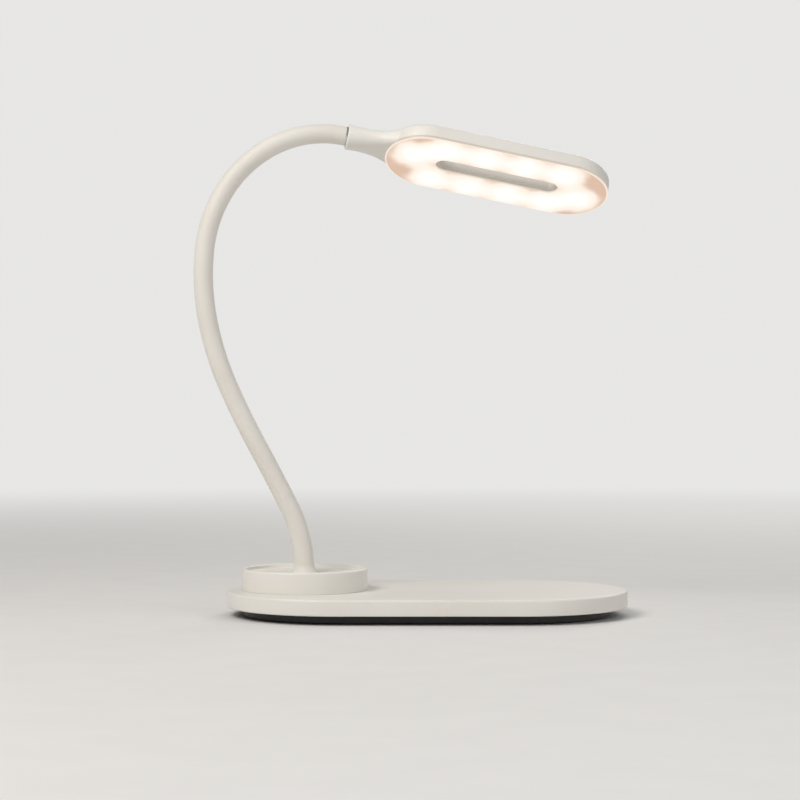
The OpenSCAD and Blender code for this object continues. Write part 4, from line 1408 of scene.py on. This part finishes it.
@dataclass
class Studio:
    """A level camera at the photo's place, a pale floor and soft light.

    Attributes:
        camera_at: Place of the camera.
        focal_px: Focal length in pixels of an 800 pixel frame.
        frame_px: Width of that frame.
        sensor_mm: Width of the sensor.
        floor_r: Radius of the floor.
        fade: Distances at which the floor starts and ends to run out into the backdrop.
        backdrop: Colour of the far floor and the sky, as the camera sees them.
        aim: Point that every light faces.
    """

    camera_at: tuple[float, float, float] = (-16.2 * MM, -1242 * MM, 128.6 * MM)
    focal_px: float = 2070.0
    frame_px: float = 800.0
    sensor_mm: float = 36.0
    floor_r: float = 9.0
    fade: tuple[float, float] = (0.32, 1.9)
    backdrop: Color = (0.8, 0.795, 0.785)
    aim: tuple[float, float, float] = (0, 0, 120 * MM)

    def build(self) -> None:
        """Builds the camera first, then the floor, the world and the lights."""
        self.build_camera()
        self.build_floor()
        self.build_world()
        self.build_lights()
        bpy.context.scene.view_settings.view_transform = "Standard"

    def build_camera(self) -> None:
        """A level camera that looks along +Y."""
        data = bpy.data.cameras.new("camera")
        data.sensor_fit, data.sensor_width = "HORIZONTAL", self.sensor_mm
        data.lens = self.sensor_mm * self.focal_px / self.frame_px
        data.clip_start, data.clip_end = 0.05, 60
        camera = bpy.data.objects.new("camera", data)
        camera.location = self.camera_at
        camera.rotation_euler = (math.pi / 2, 0, 0)
        bpy.context.scene.collection.objects.link(camera)
        bpy.context.scene.camera = camera

    def build_floor(self) -> None:
        """A round floor that is pale round the lamp and runs out into the backdrop's colour."""
        share = np.array([0, 0.02, 0.05, 0.1, 0.2, 0.4, 0.7, 1.0])
        grid = Pill(0, 48, 1).sweep([(self.floor_r * s, 0) for s in share])
        sheet = NodeSheet("pale_floor")
        sheet.set(Roughness=0.7, Specular_IOR_Level=0.2)
        cloud = sheet.span(sheet.noise(30, 3), 0.3, 0.7, 0, 1)
        tone = sheet.blend(cloud, (0.8, 0.79, 0.775), (0.785, 0.775, 0.76))
        sheet.link(tone, sheet.shader.inputs["Base Color"])
        reach = sheet.add("ShaderNodeVectorMath", operation="LENGTH")
        sheet.link(sheet.coords, reach.inputs[0])
        far = sheet.span(reach.outputs["Value"], *self.fade, 0, 1)
        path = sheet.add("ShaderNodeLightPath")
        seen = sheet.math("MAXIMUM", path.outputs["Is Camera Ray"], path.outputs["Is Glossy Ray"])
        shown = sheet.add("ShaderNodeEmission")
        shown.inputs["Color"].default_value = (*self.backdrop, 1)
        mixed = sheet.add("ShaderNodeMixShader")
        sheet.link(sheet.math("MULTIPLY", far, seen), mixed.inputs["Fac"])
        sheet.link(sheet.shader.outputs["BSDF"], mixed.inputs[1])
        sheet.link(shown.outputs["Emission"], mixed.inputs[2])
        output = next(n for n in sheet.tree.nodes if n.type == "OUTPUT_MATERIAL")
        sheet.link(mixed.outputs["Shader"], output.inputs["Surface"])
        floor = mesh_piece("floor", grid, grid_quads(*grid.shape[:2], Around.ROWS), sheet.material)
        floor.data.flip_normals()

    def build_world(self) -> None:
        """A soft even sky; the camera sees the backdrop's colour in its place."""
        world = bpy.data.worlds.new("studio")
        bpy.context.scene.world = world
        world.use_nodes = True
        tree = world.node_tree
        tree.nodes.clear()
        output = tree.nodes.new("ShaderNodeOutputWorld")
        shown, light = tree.nodes.new("ShaderNodeBackground"), tree.nodes.new("ShaderNodeBackground")
        shown.inputs["Color"].default_value = (*self.backdrop, 1)
        light.inputs["Color"].default_value = (1.0, 0.985, 0.965, 1)
        light.inputs["Strength"].default_value = 0.3
        path = tree.nodes.new("ShaderNodeLightPath")
        most = tree.nodes.new("ShaderNodeMath")
        most.operation = "MAXIMUM"
        tree.links.new(path.outputs["Is Camera Ray"], most.inputs[0])
        tree.links.new(path.outputs["Is Transmission Ray"], most.inputs[1])
        mixed = tree.nodes.new("ShaderNodeMixShader")
        tree.links.new(most.outputs["Value"], mixed.inputs["Fac"])
        tree.links.new(light.outputs["Background"], mixed.inputs[1])
        tree.links.new(shown.outputs["Background"], mixed.inputs[2])
        tree.links.new(mixed.outputs["Shader"], output.inputs["Surface"])

    def build_lights(self) -> None:
        """A large soft light above left, a weaker one right, and one behind for the edges."""
        self.soft_lamp("key", (-0.75, -0.8, 1.15), 0.8, 14.0, (1.0, 0.975, 0.94))
        self.soft_lamp("fill", (1.1, -0.7, 0.7), 0.9, 4.0, (0.95, 0.975, 1.0))
        self.soft_lamp("edge", (0.45, 1.2, 0.9), 0.7, 4.5, (1.0, 0.98, 0.95))

    def soft_lamp(self, name: str, at: tuple[float, float, float], size: float, power: float,
                  color: Color) -> None:
        """One square area light that faces the aim.

        Args:
            name: Name of the light.
            at: Its place.
            size: Length of its side.
            power: Its power in watts.
            color: Its colour.
        """
        data = bpy.data.lights.new(name, "AREA")
        data.size, data.energy, data.color = size, power, color
        light = bpy.data.objects.new(name, data)
        light.location = at
        light.rotation_euler = (Vector(self.aim) - Vector(at)).to_track_quat("-Z", "Y").to_euler()
        bpy.context.scene.collection.objects.link(light)


def main() -> None:
    """Builds the camera, the finishes and the lamp."""
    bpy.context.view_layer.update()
    Studio().build()
    finishes = Finishes()
    curve = ArmCurve.from_frame()
    BasePlate().build(finishes)
    CoverScrews().build(finishes)
    Collar().build(finishes)
    ArmSkin().build(finishes, curve)
    Head().build(finishes, curve)
    finishes.dress_cad()


if __name__ == "__main__":
    logging.basicConfig(level=logging.INFO, format="%(message)s")
    main()
